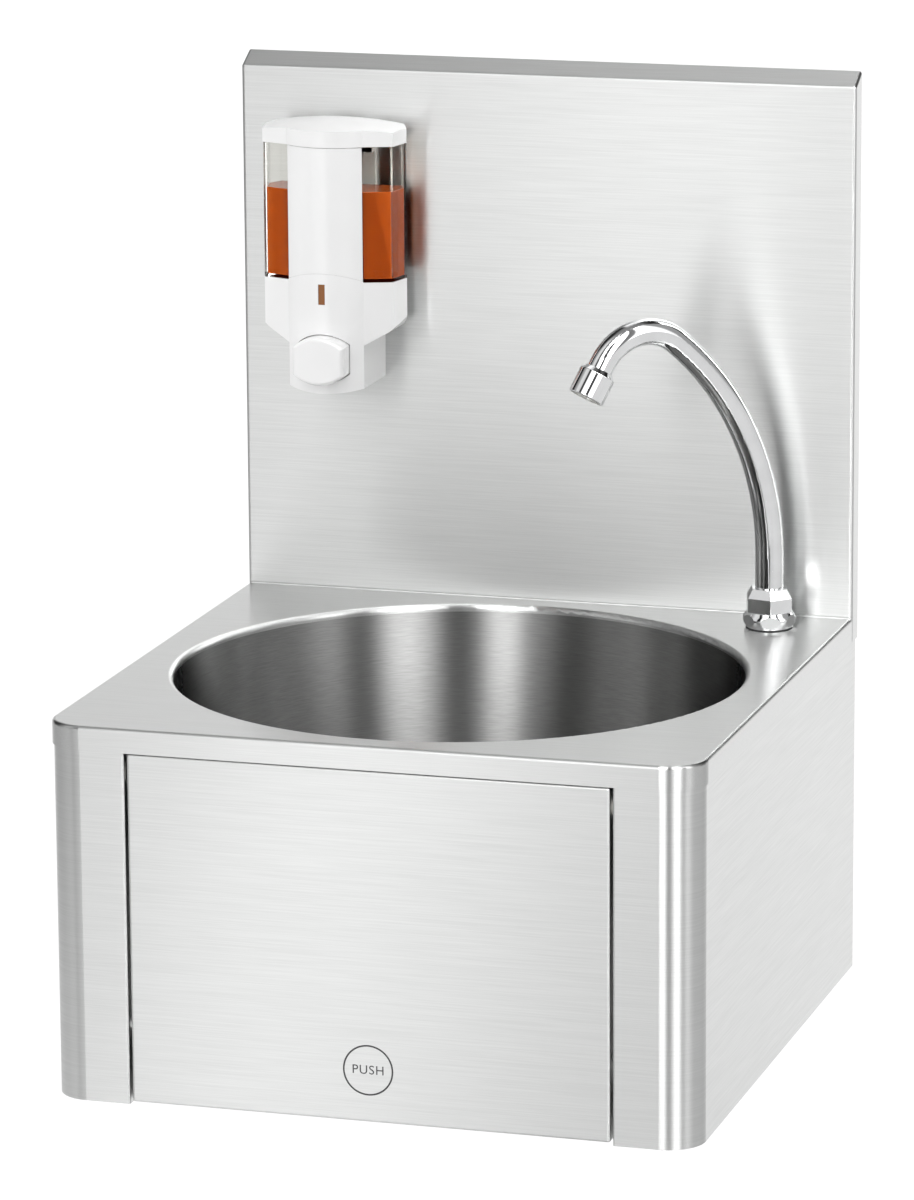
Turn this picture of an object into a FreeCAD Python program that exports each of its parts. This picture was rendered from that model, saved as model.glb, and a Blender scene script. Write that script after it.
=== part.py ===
import FreeCAD, Part
import math
import os
from FreeCAD import Vector

# A wall-hung stainless steel hand wash sink that is worked by a knee panel. A deck with a round
# bowl and a folded backsplash stands on two side casings. Between them hangs a panel that swings
# back under the knee and pushes a self-closing valve, which feeds a swan-neck spout. A soap
# dispenser hangs on the backsplash.
# Millimetres. The origin is the centre of the four wall holes, on the wall plane.
# +X is the user's right, +Y goes into the wall, +Z is up.

# ---- Driving dimensions: whole sink --------------------------------------------------------
sink_width = 400.0
sink_depth = 400.0            # wall to the front of the deck
splash_height = 345.0         # top of the backsplash above the deck
casing_drop = 230.5           # bottom of the casing below the deck
splash_thickness = 15.0       # front of the backsplash in front of the wall
sheet = 1.0                   # stainless sheet, all folded pieces

# ---- Wall fixing ---------------------------------------------------------------------------
hole_span = 240.0             # wall holes, centre to centre, across
hole_rise = 145.0             # wall holes, centre to centre, upwards
upper_hole_drop = 60.0        # upper wall holes below the deck
wall_hole_r = 4.5
rail_height = 30.0
rail_sheet = 1.5
rail_lip = 16.0               # folded lip that stiffens a rail
rear_flange = 30.0            # casing flange that lies against the wall
rail_end_gap = 4.0            # rail end to the inside of the casing

# ---- Deck and bowl -------------------------------------------------------------------------
skirt_height = 14.8
deck_corner_r = 23.5          # front corners, in plan
deck_bend_r = 2.2             # outside of the bend between deck and skirt
rim_margin = 15.2             # deck left between the bowl's roll and the nearest edge
rim_roll_r = 3.0
rim_lip = 1.5                 # straight lip under the roll, which the bowl is welded to
bowl_depth = 150.0
bowl_draft = 6.0              # how much the wall leans in from lip to floor
bowl_corner_r = 45.0
floor_fall = 8.0              # fall of the bowl's floor towards the waste
waste_seat_r = 39.0
waste_seat_depth = 4.5
waste_seat_slope = 2.5

# ---- Backsplash ----------------------------------------------------------------------------
bevel_rise = 7.8              # rise of the slanted top strip
splash_bend_r = 2.0
splash_return = 18.0          # flange folded down along the wall at the top
stiffener_height = 24.0
stiffener_depth = 9.0
stiffener_margin = 12.0       # stiffener end to the inside of the side flange

# ---- Casings and knee panel ----------------------------------------------------------------
post_width = 51.2             # deck side to the inner edge of a front post
casing_top_gap = 4.0          # casing top below the deck
casing_foot = 12.0            # flange folded in along the bottom of a casing
fold_r = 1.5
panel_side_gap = 1.5
panel_top_gap = 0.5           # panel top below the skirt
panel_bottom_gap = 1.6        # panel bottom above the casing's bottom
panel_side_flange = 24.0
return_setback = 1.0          # the post's return is this much shallower than the flange
panel_edge_flange = 12.0      # top and bottom flanges of the panel
panel_swing = 3.2             # degrees, knee panel pushed right in

hinge_drop = 12.7             # hinge axis below the top of the panel
hinge_inset = 10.0            # hinge axis behind the panel's face
hinge_pin_r = 3.0
bush_wall = 1.5
bush_flange = 1.0
running_gap = 0.05            # radial clearance of a shaft that turns or slides
seat_gap = 0.1                # radial clearance of a pin in a fixed hole
pin_head_r = 5.5
pin_head = 2.0
clip_r = 5.0
clip_thickness = 0.8
stop_pin_r = 2.5
stop_pin_rise = 14.0          # stop pin above the push point
slot_margin = 0.5             # clearance round the stop pin in its slot
stop_pin_edge = 5.5           # stop pin to the rear edge of the flange
hinge_side_gap = 0.4          # clip to the inner end of a hinge bush

# ---- Push valve ----------------------------------------------------------------------------
push_drop = 197.0             # push point and valve axis below the deck
hat_width = 240.0             # stiffener across the back of the panel
hat_half_height = 16.0
hat_depth = 8.0
hat_flange = 9.0
pad_r = 14.0
pad_thickness = 5.0
contact_gap = 0.3             # between touching pieces of different bodies
button_r = 12.0
button_thickness = 5.0
button_dome_r = 40.0
stem_r = 5.0
stem_length = 40.0            # stem behind the plunger's head
spring_room = 21.7            # plunger head to the valve's nose, at rest
valve_nose_r = 10.5
valve_nose = 9.0              # threaded nose in front of the bracket
valve_bore_tail = 12.0        # bore beyond the end of the stem at rest
valve_body_r = 16.0
valve_body_length = 70.0
valve_spring_r = 8.4          # to the middle of the wire
valve_spring_wire_r = 0.7
valve_spring_turns = 6
bracket_sheet = 2.0
bracket_half_width = 32.0
bracket_above_axis = 24.0
bracket_foot = 26.0
crossbar_sheet = 1.5
crossbar_front_inset = 42.0   # crossbar's front behind the deck's front
crossbar_depth = 34.0
crossbar_drop = 21.0          # crossbar's top below the valve axis
crossbar_skirt = 10.0
crossbar_tab = 28.0           # upright tab that is welded to a casing
bolt_spacing = 40.0
bolt_r = 3.0
bolt_flats = 10.0
bolt_head = 4.0
bolt_inset = 14.0             # bolts behind the bracket's upright
nut_height = 5.0

# ---- Inlets, mixing block and pipe ---------------------------------------------------------
block_r = 13.0
block_half_length = 46.0
inlet_offset = 33.0           # each inlet from the middle of the block
thread_half_inch_r = 10.48    # G 1/2 outside thread
inlet_bore_r = 7.0
inlet_thread_length = 13.0
inlet_hex_flats = 24.0
inlet_hex_height = 6.0
check_valve_length = 9.0
outlet_back = 33.0            # pipe outlet behind the bracket
outlet_stub_end = 30.0        # end of the outlet stub, from the valve axis
pipe_r = 5.0
pipe_wall = 1.0
pipe_bend_r = 28.0
pipe_nut_flats = 26.0
pipe_nut_length = 12.0
pipe_nut_cover = 6.0          # thread that a pipe nut covers

# ---- Waste ---------------------------------------------------------------------------------
waste_thread_r = 23.9         # G 1 1/2 outside thread
waste_wall = 2.4
waste_tail_length = 46.0
waste_cup_r = 34.0
waste_cup_depth = 12.0
waste_flange_thickness = 3.0
strainer_r = 37.0
strainer_thickness = 2.0
strainer_holes = 8
strainer_hole_r = 4.0
strainer_pitch_r = 17.0
seal_thickness = 1.5
seal_width = 9.0
waste_screw_r = 3.0
waste_screw_head_r = 6.5
waste_boss_r = 6.0
waste_arm_width = 4.0
waste_arm_height = 6.0

# ---- Tap -----------------------------------------------------------------------------------
tap_side_inset = 45.0         # tap axis from the side of the deck
tap_inset = 35.0              # tap axis in front of the backsplash
tap_seal_r = 14.6
tap_seal_height = 0.8
tap_base_bulge_r = 17.5       # corner of the ring before it is rounded into a dome
tap_base_dome_r = 6.0
tap_base_foot_r = 14.2
tap_base_height = 10.4
tap_base_flats = 30.5         # six oval flats on the dome
tap_hex_flats = 27.4
tap_turn = -73.0              # direction of one corner of the hexagon, degrees from +X
tap_hex_height = 9.0
tap_cone_height = 5.8
tap_cone_wall = 1.9           # wall round the tube at the top of the cone
tap_chamber_height = 2.4
tap_shank_bore_r = 6.0
tap_shank_drop = 44.0         # bottom of the shank below the deck
tap_nut_flats = 27.0
tap_nut_height = 7.0
tap_washer_r = 17.0
tap_washer_height = 1.5
o_ring_r = 0.9
o_ring_grip = 1.15            # groove depth beyond the tube
spout_r = 8.8
spout_taper = 0.8             # the neck's radius narrows by this towards the aerator
spout_clip_height = 1.8       # the clip stands this proud of the tube
spout_wall = 1.0
spout_clip_width = 1.2
spout_straight = 45.7         # straight tube above the deck
spout_back_r = 184.4          # long bend of the neck
spout_back_turn = 51.0        # degrees
spout_hook_r = 34.6           # tight bend at the top
spout_hook_turn = 98.0
spout_tip = 7.7               # straight tube before the aerator
aerator_step = 3.4            # the aerator's sleeve stands this proud of the neck
aerator_length = 16.0
aerator_cone = 3.0
aerator_wall = 1.6
insert_recess = 1.0
insert_length = 10.0

# ---- Soap dispenser: from the backsplash's face, its centre line and the deck --------------
soap_x = -130.5
soap_bottom = 141.0           # lowest edge above the deck
soap_shoulder = 168.5         # where the housing meets the pump box
soap_side_bottom = 181.0      # bottom of the housing at its sides
soap_side_r = 16.0            # round from each side into the shoulder
soap_seam = 208.7             # reservoir on housing
soap_level = 266.0            # top of the liquid
soap_lid_bottom = 294.8
soap_crown_r = 262.0
soap_crown_top = 308.2
soap_crown_depth = 15.0       # top of the crown in front of the backsplash
soap_back = (41.0, 10.0)      # half width and depth of each corner in plan
soap_wide = (46.0, 21.5)
soap_front = (42.6, 39.2)
soap_strip = (24.7, 45.4)     # edge of the front strip
soap_apex_depth = 55.0
soap_wall = 2.0
lid_overhang = 0.4
arch_rise = 5.4               # arched seam between the cover and the pump front
arch_edge = 209.4
chin_drop = 2.8               # the pump front's bottom edge bows down
window_width = 4.4
window_bottom = 195.1
window_height = 13.0
window_depth = 1.6
press_z = 160.4               # push button's centre above the deck
press_half_width = 16.7
press_half_height = 15.4      # at the middle of its bowed top and bottom
press_side_half = 8.9         # half height of its straight sides
press_face_depth = 65.0
press_skirt_depth = 46.0
press_gap = 0.4
press_edge_r = 2.4
bracket_x = 20.0              # dispenser bracket, half width
bracket_plate = 4.0
bracket_bottom = 146.0
bracket_top = 292.0
screw_heights = (190.0, 275.0)
screw_r = 2.0
screw_head_r = 4.0
screw_head = 2.2
screw_nut_flats = 7.0
screw_nut = 3.2
lid_pin_r = 1.5
lid_axis_depth = 6.0
lid_axis_height = 303.0
lid_knuckle_r = 3.0
ear_outer = 16.0
ear_width = 5.0
knuckle_width = 3.5
knuckle_gap = 0.4
pump_r = 9.0
pump_bore_r = 7.0
pump_front = 34.0             # front of the pump cylinder, from the backsplash
piston_from = 24.0
piston_length = 8.0
rod_r = 3.0
pump_spring_r = 5.6
pump_spring_wire_r = 0.5
pump_spring_turns = 7
nozzle_depth = 14.0
nozzle_r = 3.5
nozzle_bore_r = 1.8
feed_depth = 19.0
feed_r = 4.5

# ---- Places worked out from the values above -----------------------------------------------
half_w = sink_width / 2
front_y = -sink_depth
face_y = -splash_thickness
deck_z = upper_hole_drop + hole_rise / 2
bowl_y = (front_y + face_y) / 2
bowl_rim_r = min(half_w, (face_y - front_y) / 2) - rim_margin
skirt_z = deck_z - skirt_height
casing_z = deck_z - casing_drop
casing_x = half_w - sheet
casing_y = front_y + sheet
post_x = half_w - post_width
panel_x = post_x - panel_side_gap
panel_top = skirt_z - panel_top_gap
panel_bottom = casing_z + panel_bottom_gap
hinge_z = panel_top - hinge_drop
hinge_y = casing_y + hinge_inset
push_z = deck_z - push_drop
lip_z = deck_z - rim_roll_r - rim_lip
bowl_r = bowl_rim_r - rim_roll_r
floor_z = deck_z - bowl_depth
seat_z = floor_z - waste_seat_depth
stop_y = casing_y + panel_side_flange - stop_pin_edge
post_return = panel_side_flange - return_setback
stop_z = push_z + stop_pin_rise
pad_y = casing_y + sheet + hat_depth + pad_thickness
head_y = pad_y + contact_gap
nose_y = head_y + button_thickness + spring_room
bracket_y = nose_y + valve_nose
valve_back_y = bracket_y + bracket_sheet + valve_body_length
crossbar_y = front_y + crossbar_front_inset
crossbar_z = push_z - crossbar_drop
tap_x = half_w - tap_side_inset
tap_y = face_y - tap_inset
outlet_y = bracket_y + bracket_sheet + outlet_back
spout_end_r = spout_r - spout_taper
aerator_r = spout_end_r + aerator_step
tap_cone_r = spout_r + tap_cone_wall
tap_chamber_r = spout_r + spout_clip_height + contact_gap


# ---- Shape helpers -------------------------------------------------------------------------
def box(x0, x1, y0, y1, z0, z1):
    return Part.makeBox(x1 - x0, y1 - y0, z1 - z0, Vector(x0, y0, z0))


def rod(radius, start, end):
    """Round bar between two points."""
    along = end - start
    return Part.makeCylinder(radius, along.Length, start, along)


def tube(outer_r, inner_r, start, end):
    return rod(outer_r, start, end).cut(rod(inner_r, start, end))


def in_plane(plane, a, b, height):
    if plane == "xy":
        return Vector(a, b, height)
    if plane == "xz":
        return Vector(a, height, b)
    return Vector(height, a, b)


def outline(corners, plane, height):
    """Closed wire through corners (a, b, radius), each rounded to its radius."""
    points = [in_plane(plane, a, b, height) for a, b, _ in corners]
    starts, mids, ends = [], [], []
    for i, point in enumerate(points):
        radius = corners[i][2]
        back = (points[i - 1] - point).normalize()
        ahead = (points[(i + 1) % len(points)] - point).normalize()
        half_angle = back.getAngle(ahead) / 2
        reach = radius / math.tan(half_angle)
        inward = back + ahead
        mid = point
        if radius > 0:
            mid = point + inward.normalize() * (radius / math.sin(half_angle) - radius)
        starts.append(point + back * reach)
        mids.append(mid)
        ends.append(point + ahead * reach)
    edges = []
    for i, corner in enumerate(corners):
        if corner[2] > 0:
            edges.append(Part.Arc(starts[i], mids[i], ends[i]).toShape())
        following = starts[(i + 1) % len(corners)]
        if (following - ends[i]).Length > 1e-6:
            edges.append(Part.makeLine(ends[i], following))
    return Part.Wire(edges)


def prism(corners, plane, low, high):
    """Outline pushed from low to high along the plane's normal."""
    face = Part.Face(outline(corners, plane, low))
    return face.extrude(in_plane(plane, 0, 0, high - low))


def turned(corners, centre, direction=Vector(0, 0, 1)):
    """Solid of revolution: corners are (radius, height, rounding) about an axis at centre."""
    face = Part.Face(outline(corners, "xz", 0))
    solid = face.revolve(Vector(0, 0, 0), Vector(0, 0, 1), 360)
    solid.Placement = FreeCAD.Placement(centre, FreeCAD.Rotation(Vector(0, 0, 1), direction))
    return solid


def hexagon_ring(flats, centre, turn):
    """Level hexagon of the given width across flats, as a closed wire."""
    corner_r = flats / math.sqrt(3)
    corners = []
    for i in range(7):
        angle = math.radians(turn + 60 * i)
        corners.append(centre + Vector(corner_r * math.cos(angle), corner_r * math.sin(angle), 0))
    return Part.makePolygon(corners)


def hexagon(flats, start, end, turn=0.0):
    """Hexagonal bar of the given width across flats between two points."""
    along = end - start
    face = Part.Face(hexagon_ring(flats, Vector(0, 0, 0), turn))
    solid = face.extrude(Vector(0, 0, along.Length))
    solid.Placement = FreeCAD.Placement(start, FreeCAD.Rotation(Vector(0, 0, 1), along))
    return solid


def hex_nut(flats, bore_r, start, end):
    return hexagon(flats, start, end).cut(rod(bore_r, start, end))


def swept(radius, path, start, direction):
    """Round bar along a wire."""
    circle = Part.Wire([Part.makeCircle(radius, start, direction)])
    return path.makePipeShell([circle], True, False)


def bent_path(points, bend_r):
    """Straight runs between points, joined by arcs."""
    edges = []
    last = points[0]
    for i in range(1, len(points) - 1):
        back = (points[i - 1] - points[i]).normalize()
        ahead = (points[i + 1] - points[i]).normalize()
        half_angle = back.getAngle(ahead) / 2
        reach = bend_r / math.tan(half_angle)
        inward = (back + ahead).normalize()
        start = points[i] + back * reach
        end = points[i] + ahead * reach
        mid = points[i] + inward * (bend_r / math.sin(half_angle) - bend_r)
        edges.append(Part.makeLine(last, start))
        edges.append(Part.Arc(start, mid, end).toShape())
        last = end
    edges.append(Part.makeLine(last, points[-1]))
    return Part.Wire(edges)


def biarc(start, start_way, end, end_way):
    """Two arcs in a row that leave start along start_way and reach end along end_way."""
    chord = end - start
    ways = start_way + end_way
    a = 2 * (1 - start_way.dot(end_way))
    b = 2 * chord.dot(ways)
    reach = (math.sqrt(b * b + 4 * a * chord.dot(chord)) - b) / (2 * a)
    first = start + start_way * reach
    last = end - end_way * reach
    joint = (first + last) * 0.5
    arcs = []
    for near, corner, far in ((start, first, joint), (joint, last, end)):
        back = (near - corner).normalize()
        ahead = (far - corner).normalize()
        half_angle = back.getAngle(ahead) / 2
        depth = reach * (1 / math.cos(half_angle) - math.tan(half_angle))
        middle = corner + (back + ahead).normalize() * depth
        arcs.append(Part.Arc(near, middle, far).toShape())
    return arcs


def coil(radius, wire_r, turns, start, end):
    """Compression spring between two points, in half turns."""
    along = end - start
    pitch = (along.Length - 2 * wire_r) / turns
    slope = pitch / (2 * math.pi)
    edges = []
    for i in range(2 * turns):
        points = []
        for angle in (math.pi * i, math.pi * (i + 1)):
            place = Vector(radius * math.cos(angle), radius * math.sin(angle), wire_r + slope * angle)
            way = Vector(-radius * math.sin(angle), radius * math.cos(angle), slope).normalize()
            points += [place, way]
        edges += biarc(*points)
    circle = Part.Wire([Part.makeCircle(wire_r, Vector(radius, 0, wire_r), Vector(0, radius, slope))])
    spring = Part.Wire(edges).makePipeShell([circle], True, False)
    spring.Placement = FreeCAD.Placement(start, FreeCAD.Rotation(Vector(0, 0, 1), along))
    return spring


def mirrored(shape):
    """The same piece on the other side of the middle."""
    return shape.mirror(Vector(0, 0, 0), Vector(1, 0, 0))


def rounded(shape, radius, wanted):
    """Round the edges for which wanted(edge) is true."""
    return shape.makeFillet(radius, [edge for edge in shape.Edges if wanted(edge)])


def lies_at(edge, axis, value):
    """True if the whole edge lies in the plane axis = value."""
    box_of = edge.BoundBox
    low, high = {"x": (box_of.XMin, box_of.XMax), "y": (box_of.YMin, box_of.YMax),
                 "z": (box_of.ZMin, box_of.ZMax)}[axis]
    return abs(low - value) < 1e-3 and abs(high - value) < 1e-3


def save(name, solids):
    shape = solids[0] if len(solids) == 1 else Part.makeCompound(solids)
    shape.exportStep("parts/" + name + ".step")


# ---- Deck and bowl -------------------------------------------------------------------------
def skirt_block(inset, low, rear_y, high):
    """Block with the deck's plan, drawn in by inset, its top edges rounded."""
    x = half_w - inset
    y = front_y + inset
    corner = deck_corner_r - inset
    block = prism([(-x, rear_y, 0), (-x, y, corner), (x, y, corner), (x, rear_y, 0)], "xy", low, high)
    return rounded(block, deck_bend_r - inset,
                   lambda edge: lies_at(edge, "z", high) and not lies_at(edge, "y", rear_y))


def basin_deck():
    deck = skirt_block(0, skirt_z, face_y, deck_z)
    deck = deck.cut(skirt_block(sheet, skirt_z - 1, face_y + 1, deck_z - sheet))
    deck = deck.fuse(box(-casing_x, casing_x, face_y - 1, face_y + sheet, deck_z - sheet, deck_z))
    opening = rod(bowl_rim_r, Vector(0, bowl_y, deck_z - 2 * sheet), Vector(0, bowl_y, deck_z + 1))
    rim = turned([(bowl_rim_r, deck_z, 0), (bowl_r, deck_z, rim_roll_r), (bowl_r, lip_z, 0),
                  (bowl_r + sheet, lip_z, 0), (bowl_r + sheet, deck_z - sheet, rim_roll_r - sheet),
                  (bowl_rim_r, deck_z - sheet, 0)], Vector(0, bowl_y, 0))
    tap_hole = rod(thread_half_inch_r + seat_gap, Vector(tap_x, tap_y, deck_z - 2 * sheet),
                   Vector(tap_x, tap_y, deck_z + 1))
    return deck.cut(opening).fuse(rim).cut(tap_hole).removeSplitter()


def bowl_block(extra):
    """The bowl's inside, or with extra = sheet its outside."""
    corner = (bowl_r - bowl_draft + extra, floor_z + floor_fall - extra, bowl_corner_r + extra)
    seat_edge = (waste_seat_r + waste_seat_slope + extra, floor_z - extra, 0)
    return turned([(0, seat_z - extra, 0), (waste_seat_r + extra, seat_z - extra, 0), seat_edge, corner,
                   (bowl_r + extra, lip_z, 0), (0, lip_z, 0)], Vector(0, bowl_y, 0))


def basin_bowl():
    drain = rod(waste_thread_r + seat_gap, Vector(0, bowl_y, seat_z - 2 * sheet),
                Vector(0, bowl_y, seat_z + 1))
    return bowl_block(sheet).cut(bowl_block(0)).cut(drain)


# ---- Backsplash ----------------------------------------------------------------------------
def splash_block(inset, low, rear_y):
    """Block with the backsplash's section, drawn in by inset, its side edges rounded."""
    slope = math.atan2(bevel_rise, splash_thickness)
    top = deck_z + splash_height
    fold = top - bevel_rise
    drop = inset / math.cos(slope)
    front = face_y + inset
    fold_edge = fold + inset * math.tan(slope) - drop
    rear_edge = top + rear_y * math.tan(slope) - drop
    x = half_w - inset
    block = prism([(rear_y, low, 0), (front, low, 0), (front, fold_edge, splash_bend_r - inset),
                   (rear_y, rear_edge, 0)], "yz", -x, x)
    return rounded(block, splash_bend_r - inset,
                   lambda edge: (lies_at(edge, "x", x) or lies_at(edge, "x", -x))
                   and not lies_at(edge, "y", rear_y) and not lies_at(edge, "z", low))


def backsplash():
    top = deck_z + splash_height
    x = half_w - sheet
    panel = splash_block(0, skirt_z, 0).cut(splash_block(sheet, skirt_z - 1, 1))
    panel = panel.fuse(box(-x, x, -sheet, 0, top - splash_return, top - sheet))
    panel = panel.cut(box(-x, x, face_y - 1, 1, skirt_z - 1, deck_z))
    for height in screw_heights:
        centre = deck_z + height
        panel = panel.cut(rod(screw_r + seat_gap, Vector(soap_x, face_y - 1, centre),
                              Vector(soap_x, face_y + 2, centre)))
    return panel


def splash_stiffener(height):
    """Channel welded across the back of the backsplash, with a hole for a dispenser screw."""
    x = half_w - sheet - stiffener_margin
    low = deck_z + height - stiffener_height / 2
    high = low + stiffener_height
    y = face_y + sheet
    channel = box(-x, x, y, y + stiffener_depth, low, high)
    channel = channel.cut(box(-x, x, y + sheet, y + stiffener_depth, low + sheet, high - sheet))
    return channel.cut(rod(screw_r + seat_gap, Vector(soap_x, y - 1, deck_z + height),
                           Vector(soap_x, y + 2, deck_z + height)))


# ---- Side casings and rear rails -----------------------------------------------------------
def casing_block(inset):
    """Column with a casing's plan, drawn in by inset."""
    corner = deck_corner_r - sheet - inset
    low = casing_z - (1 if inset else 0)
    high = deck_z - casing_top_gap + (1 if inset else 0)
    return prism([(post_x + inset, casing_y + inset, fold_r - inset),
                  (casing_x - inset, casing_y + inset, corner),
                  (casing_x - inset, -inset, fold_r - inset), (post_x + inset, -inset, 0)],
                 "xy", low, high)


def side_casing():
    """Right casing: post, rounded corner, side wall and wall flange in one folded sheet."""
    casing = casing_block(0).cut(casing_block(sheet))
    casing = casing.cut(box(post_x - 1, casing_x - rear_flange, casing_y + post_return, 1,
                            casing_z - 1, deck_z))
    casing = casing.fuse(box(casing_x - casing_foot, casing_x - sheet / 2, casing_y + deck_corner_r,
                             -sheet / 2, casing_z, casing_z + sheet))
    for y, z, radius in ((hinge_y, hinge_z, hinge_pin_r), (stop_y, stop_z, stop_pin_r)):
        casing = casing.cut(rod(radius + seat_gap, Vector(post_x - 1, y, z), Vector(post_x + 2, y, z)))
    return casing


def rear_rail(hole_z, lip_side):
    """Joggled rail: its middle lies on the wall, its ends lap in front of the casing flanges."""
    end_x = casing_x - sheet - rail_end_gap
    mid_x = casing_x - rear_flange - rail_sheet
    low = hole_z - rail_height / 2
    high = hole_z + rail_height / 2
    rail = box(-mid_x, mid_x, -rail_sheet, 0, low, high)
    lip_z = high - rail_sheet if lip_side > 0 else low
    rail = rail.fuse(box(-mid_x, mid_x, -rail_lip, 0, lip_z, lip_z + rail_sheet))
    for side in (-1, 1):
        inner = side * (mid_x - rail_sheet)
        outer = side * end_x
        rail = rail.fuse(box(min(inner, outer), max(inner, outer), -sheet - rail_sheet, -sheet, low, high))
        hole_x = side * hole_span / 2
        rail = rail.cut(rod(wall_hole_r, Vector(hole_x, -rail_sheet - 1, hole_z),
                            Vector(hole_x, 1, hole_z)))
    return rail.removeSplitter()


# ---- Knee panel ----------------------------------------------------------------------------
def in_panel_frame(y, z, angle):
    """Where a fixed point lies in the panel's own frame once the panel has swung by angle."""
    dy = y - hinge_y
    dz = z - hinge_z
    turn = math.radians(angle)
    return (hinge_y + dy * math.cos(turn) + dz * math.sin(turn),
            hinge_z - dy * math.sin(turn) + dz * math.cos(turn))


def stop_slot(x0, x1):
    """Slot that the stop pin runs in while the panel swings."""
    radius = stop_pin_r + slot_margin
    far_y, far_z = in_panel_frame(stop_y, stop_z, panel_swing)
    start = Vector(x0, stop_y, stop_z)
    end = Vector(x0, far_y, far_z)
    across = Vector(x1 - x0, 0, 0)
    side = (end - start).cross(Vector(1, 0, 0)).normalize() * radius
    corners = [start + side, end + side, end - side, start - side, start + side]
    middle = Part.Face(Part.makePolygon(corners)).extrude(across)
    return middle.fuse([rod(radius, start, start + across), rod(radius, end, end + across)])


def knee_panel():
    y0 = casing_y
    y1 = y0 + panel_side_flange
    inner_x = panel_x - sheet
    pan = prism([(-panel_x, y1, 0), (-panel_x, y0, fold_r), (panel_x, y0, fold_r), (panel_x, y1, 0)],
                "xy", panel_bottom, panel_top)
    pan = rounded(pan, fold_r,
                  lambda edge: (lies_at(edge, "z", panel_top) or lies_at(edge, "z", panel_bottom))
                  and edge.BoundBox.YMax < y1 - 1)
    pan = pan.cut(box(-inner_x, inner_x, y0 + sheet, y1 + 1, panel_bottom + sheet, panel_top - sheet))
    pan = pan.cut(box(-inner_x, inner_x, y0 + panel_edge_flange, y1 + 1, panel_bottom - 1, panel_top + 1))
    for side in (-1, 1):
        x0 = side * (inner_x - 1)
        x1 = side * (panel_x + 1)
        pan = pan.cut(rod(hinge_pin_r + running_gap + bush_wall, Vector(x0, hinge_y, hinge_z),
                          Vector(x1, hinge_y, hinge_z)))
        pan = pan.cut(stop_slot(x0, x1))
    return pan


def panel_hat():
    """Hat section across the back of the panel, behind the push point."""
    x = hat_width / 2
    y = casing_y + sheet
    low = push_z - hat_half_height
    high = push_z + hat_half_height
    hat = box(-x, x, y, y + hat_depth, low, high)
    hat = hat.cut(box(-x, x, y, y + hat_depth - sheet, low + sheet, high - sheet))
    return hat.fuse([box(-x, x, y, y + sheet, low - hat_flange, low + sheet),
                     box(-x, x, y, y + sheet, high - sheet, high + hat_flange)]).removeSplitter()


def push_pad():
    return turned([(0, 0, 0), (pad_r, 0, 0), (pad_r, pad_thickness, 1.2), (0, pad_thickness, 0)],
                  Vector(0, pad_y - pad_thickness, push_z), Vector(0, 1, 0))


def hinge_bush():
    """Flanged bush in the panel's right flange."""
    bore_r = hinge_pin_r + running_gap
    sleeve_r = bore_r + bush_wall
    flange_r = sleeve_r + bush_wall
    start = panel_x - 2 * sheet
    return turned([(bore_r, start, 0), (sleeve_r, start, 0), (sleeve_r, panel_x, 0), (flange_r, panel_x, 0),
                   (flange_r, panel_x + bush_flange, 0), (bore_r, panel_x + bush_flange, 0)],
                  Vector(0, hinge_y, hinge_z), Vector(1, 0, 0))


def hinge_clip():
    start = panel_x - 2 * sheet - hinge_side_gap - clip_thickness
    return tube(clip_r, hinge_pin_r, Vector(start, hinge_y, hinge_z),
                Vector(start + clip_thickness, hinge_y, hinge_z))


def headed_pin(radius, y, z, inner_x):
    """Pin through a post's return, its head on the far side."""
    head_x = post_x + sheet
    shank = rod(radius, Vector(inner_x, y, z), Vector(head_x, y, z))
    return shank.fuse(rod(pin_head_r, Vector(head_x, y, z), Vector(head_x + pin_head, y, z)))


def hinge_pin():
    inner_x = panel_x - 2 * sheet - hinge_side_gap - 2 * clip_thickness
    return headed_pin(hinge_pin_r, hinge_y, hinge_z, inner_x)


def stop_pin():
    return headed_pin(stop_pin_r, stop_y, stop_z, panel_x - 3 * sheet)


# ---- Push valve and what carries it --------------------------------------------------------
def valve_plunger():
    head = rod(button_r, Vector(0, head_y, push_z), Vector(0, head_y + button_thickness, push_z))
    head = head.common(Part.makeSphere(button_dome_r, Vector(0, head_y + button_dome_r, push_z)))
    stem_y = head_y + button_thickness
    return head.fuse(rod(stem_r, Vector(0, stem_y, push_z), Vector(0, stem_y + stem_length, push_z)))


def valve_body():
    axis_start = Vector(0, 0, push_z)
    body_y = bracket_y + bracket_sheet
    body = turned([(0, nose_y, 0), (valve_nose_r, nose_y, 0), (valve_nose_r, body_y, 0),
                   (valve_body_r, body_y, 1.5), (valve_body_r, valve_back_y, 0), (0, valve_back_y, 0)],
                  axis_start, Vector(0, 1, 0))
    stub = rod(thread_half_inch_r, Vector(0, outlet_y, push_z), Vector(outlet_stub_end, outlet_y, push_z))
    bore_end = head_y + button_thickness + stem_length + valve_bore_tail
    body = body.fuse(stub).cut(rod(stem_r + running_gap, Vector(0, nose_y - 1, push_z),
                                   Vector(0, bore_end, push_z)))
    body = body.cut(rod(pipe_r - pipe_wall, Vector(stem_r, outlet_y, push_z),
                        Vector(outlet_stub_end + 1, outlet_y, push_z)))
    return body.cut(mixing_core(block_r))


def mixing_core(radius):
    y = valve_back_y + block_r / 2
    return rod(radius, Vector(-block_half_length, y, push_z), Vector(block_half_length, y, push_z))


def mixing_block():
    return mixing_core(block_r).cut(mixing_core(inlet_bore_r).common(
        box(-inlet_offset, inlet_offset, front_y, 0, push_z - block_r, push_z + block_r)))


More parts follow.
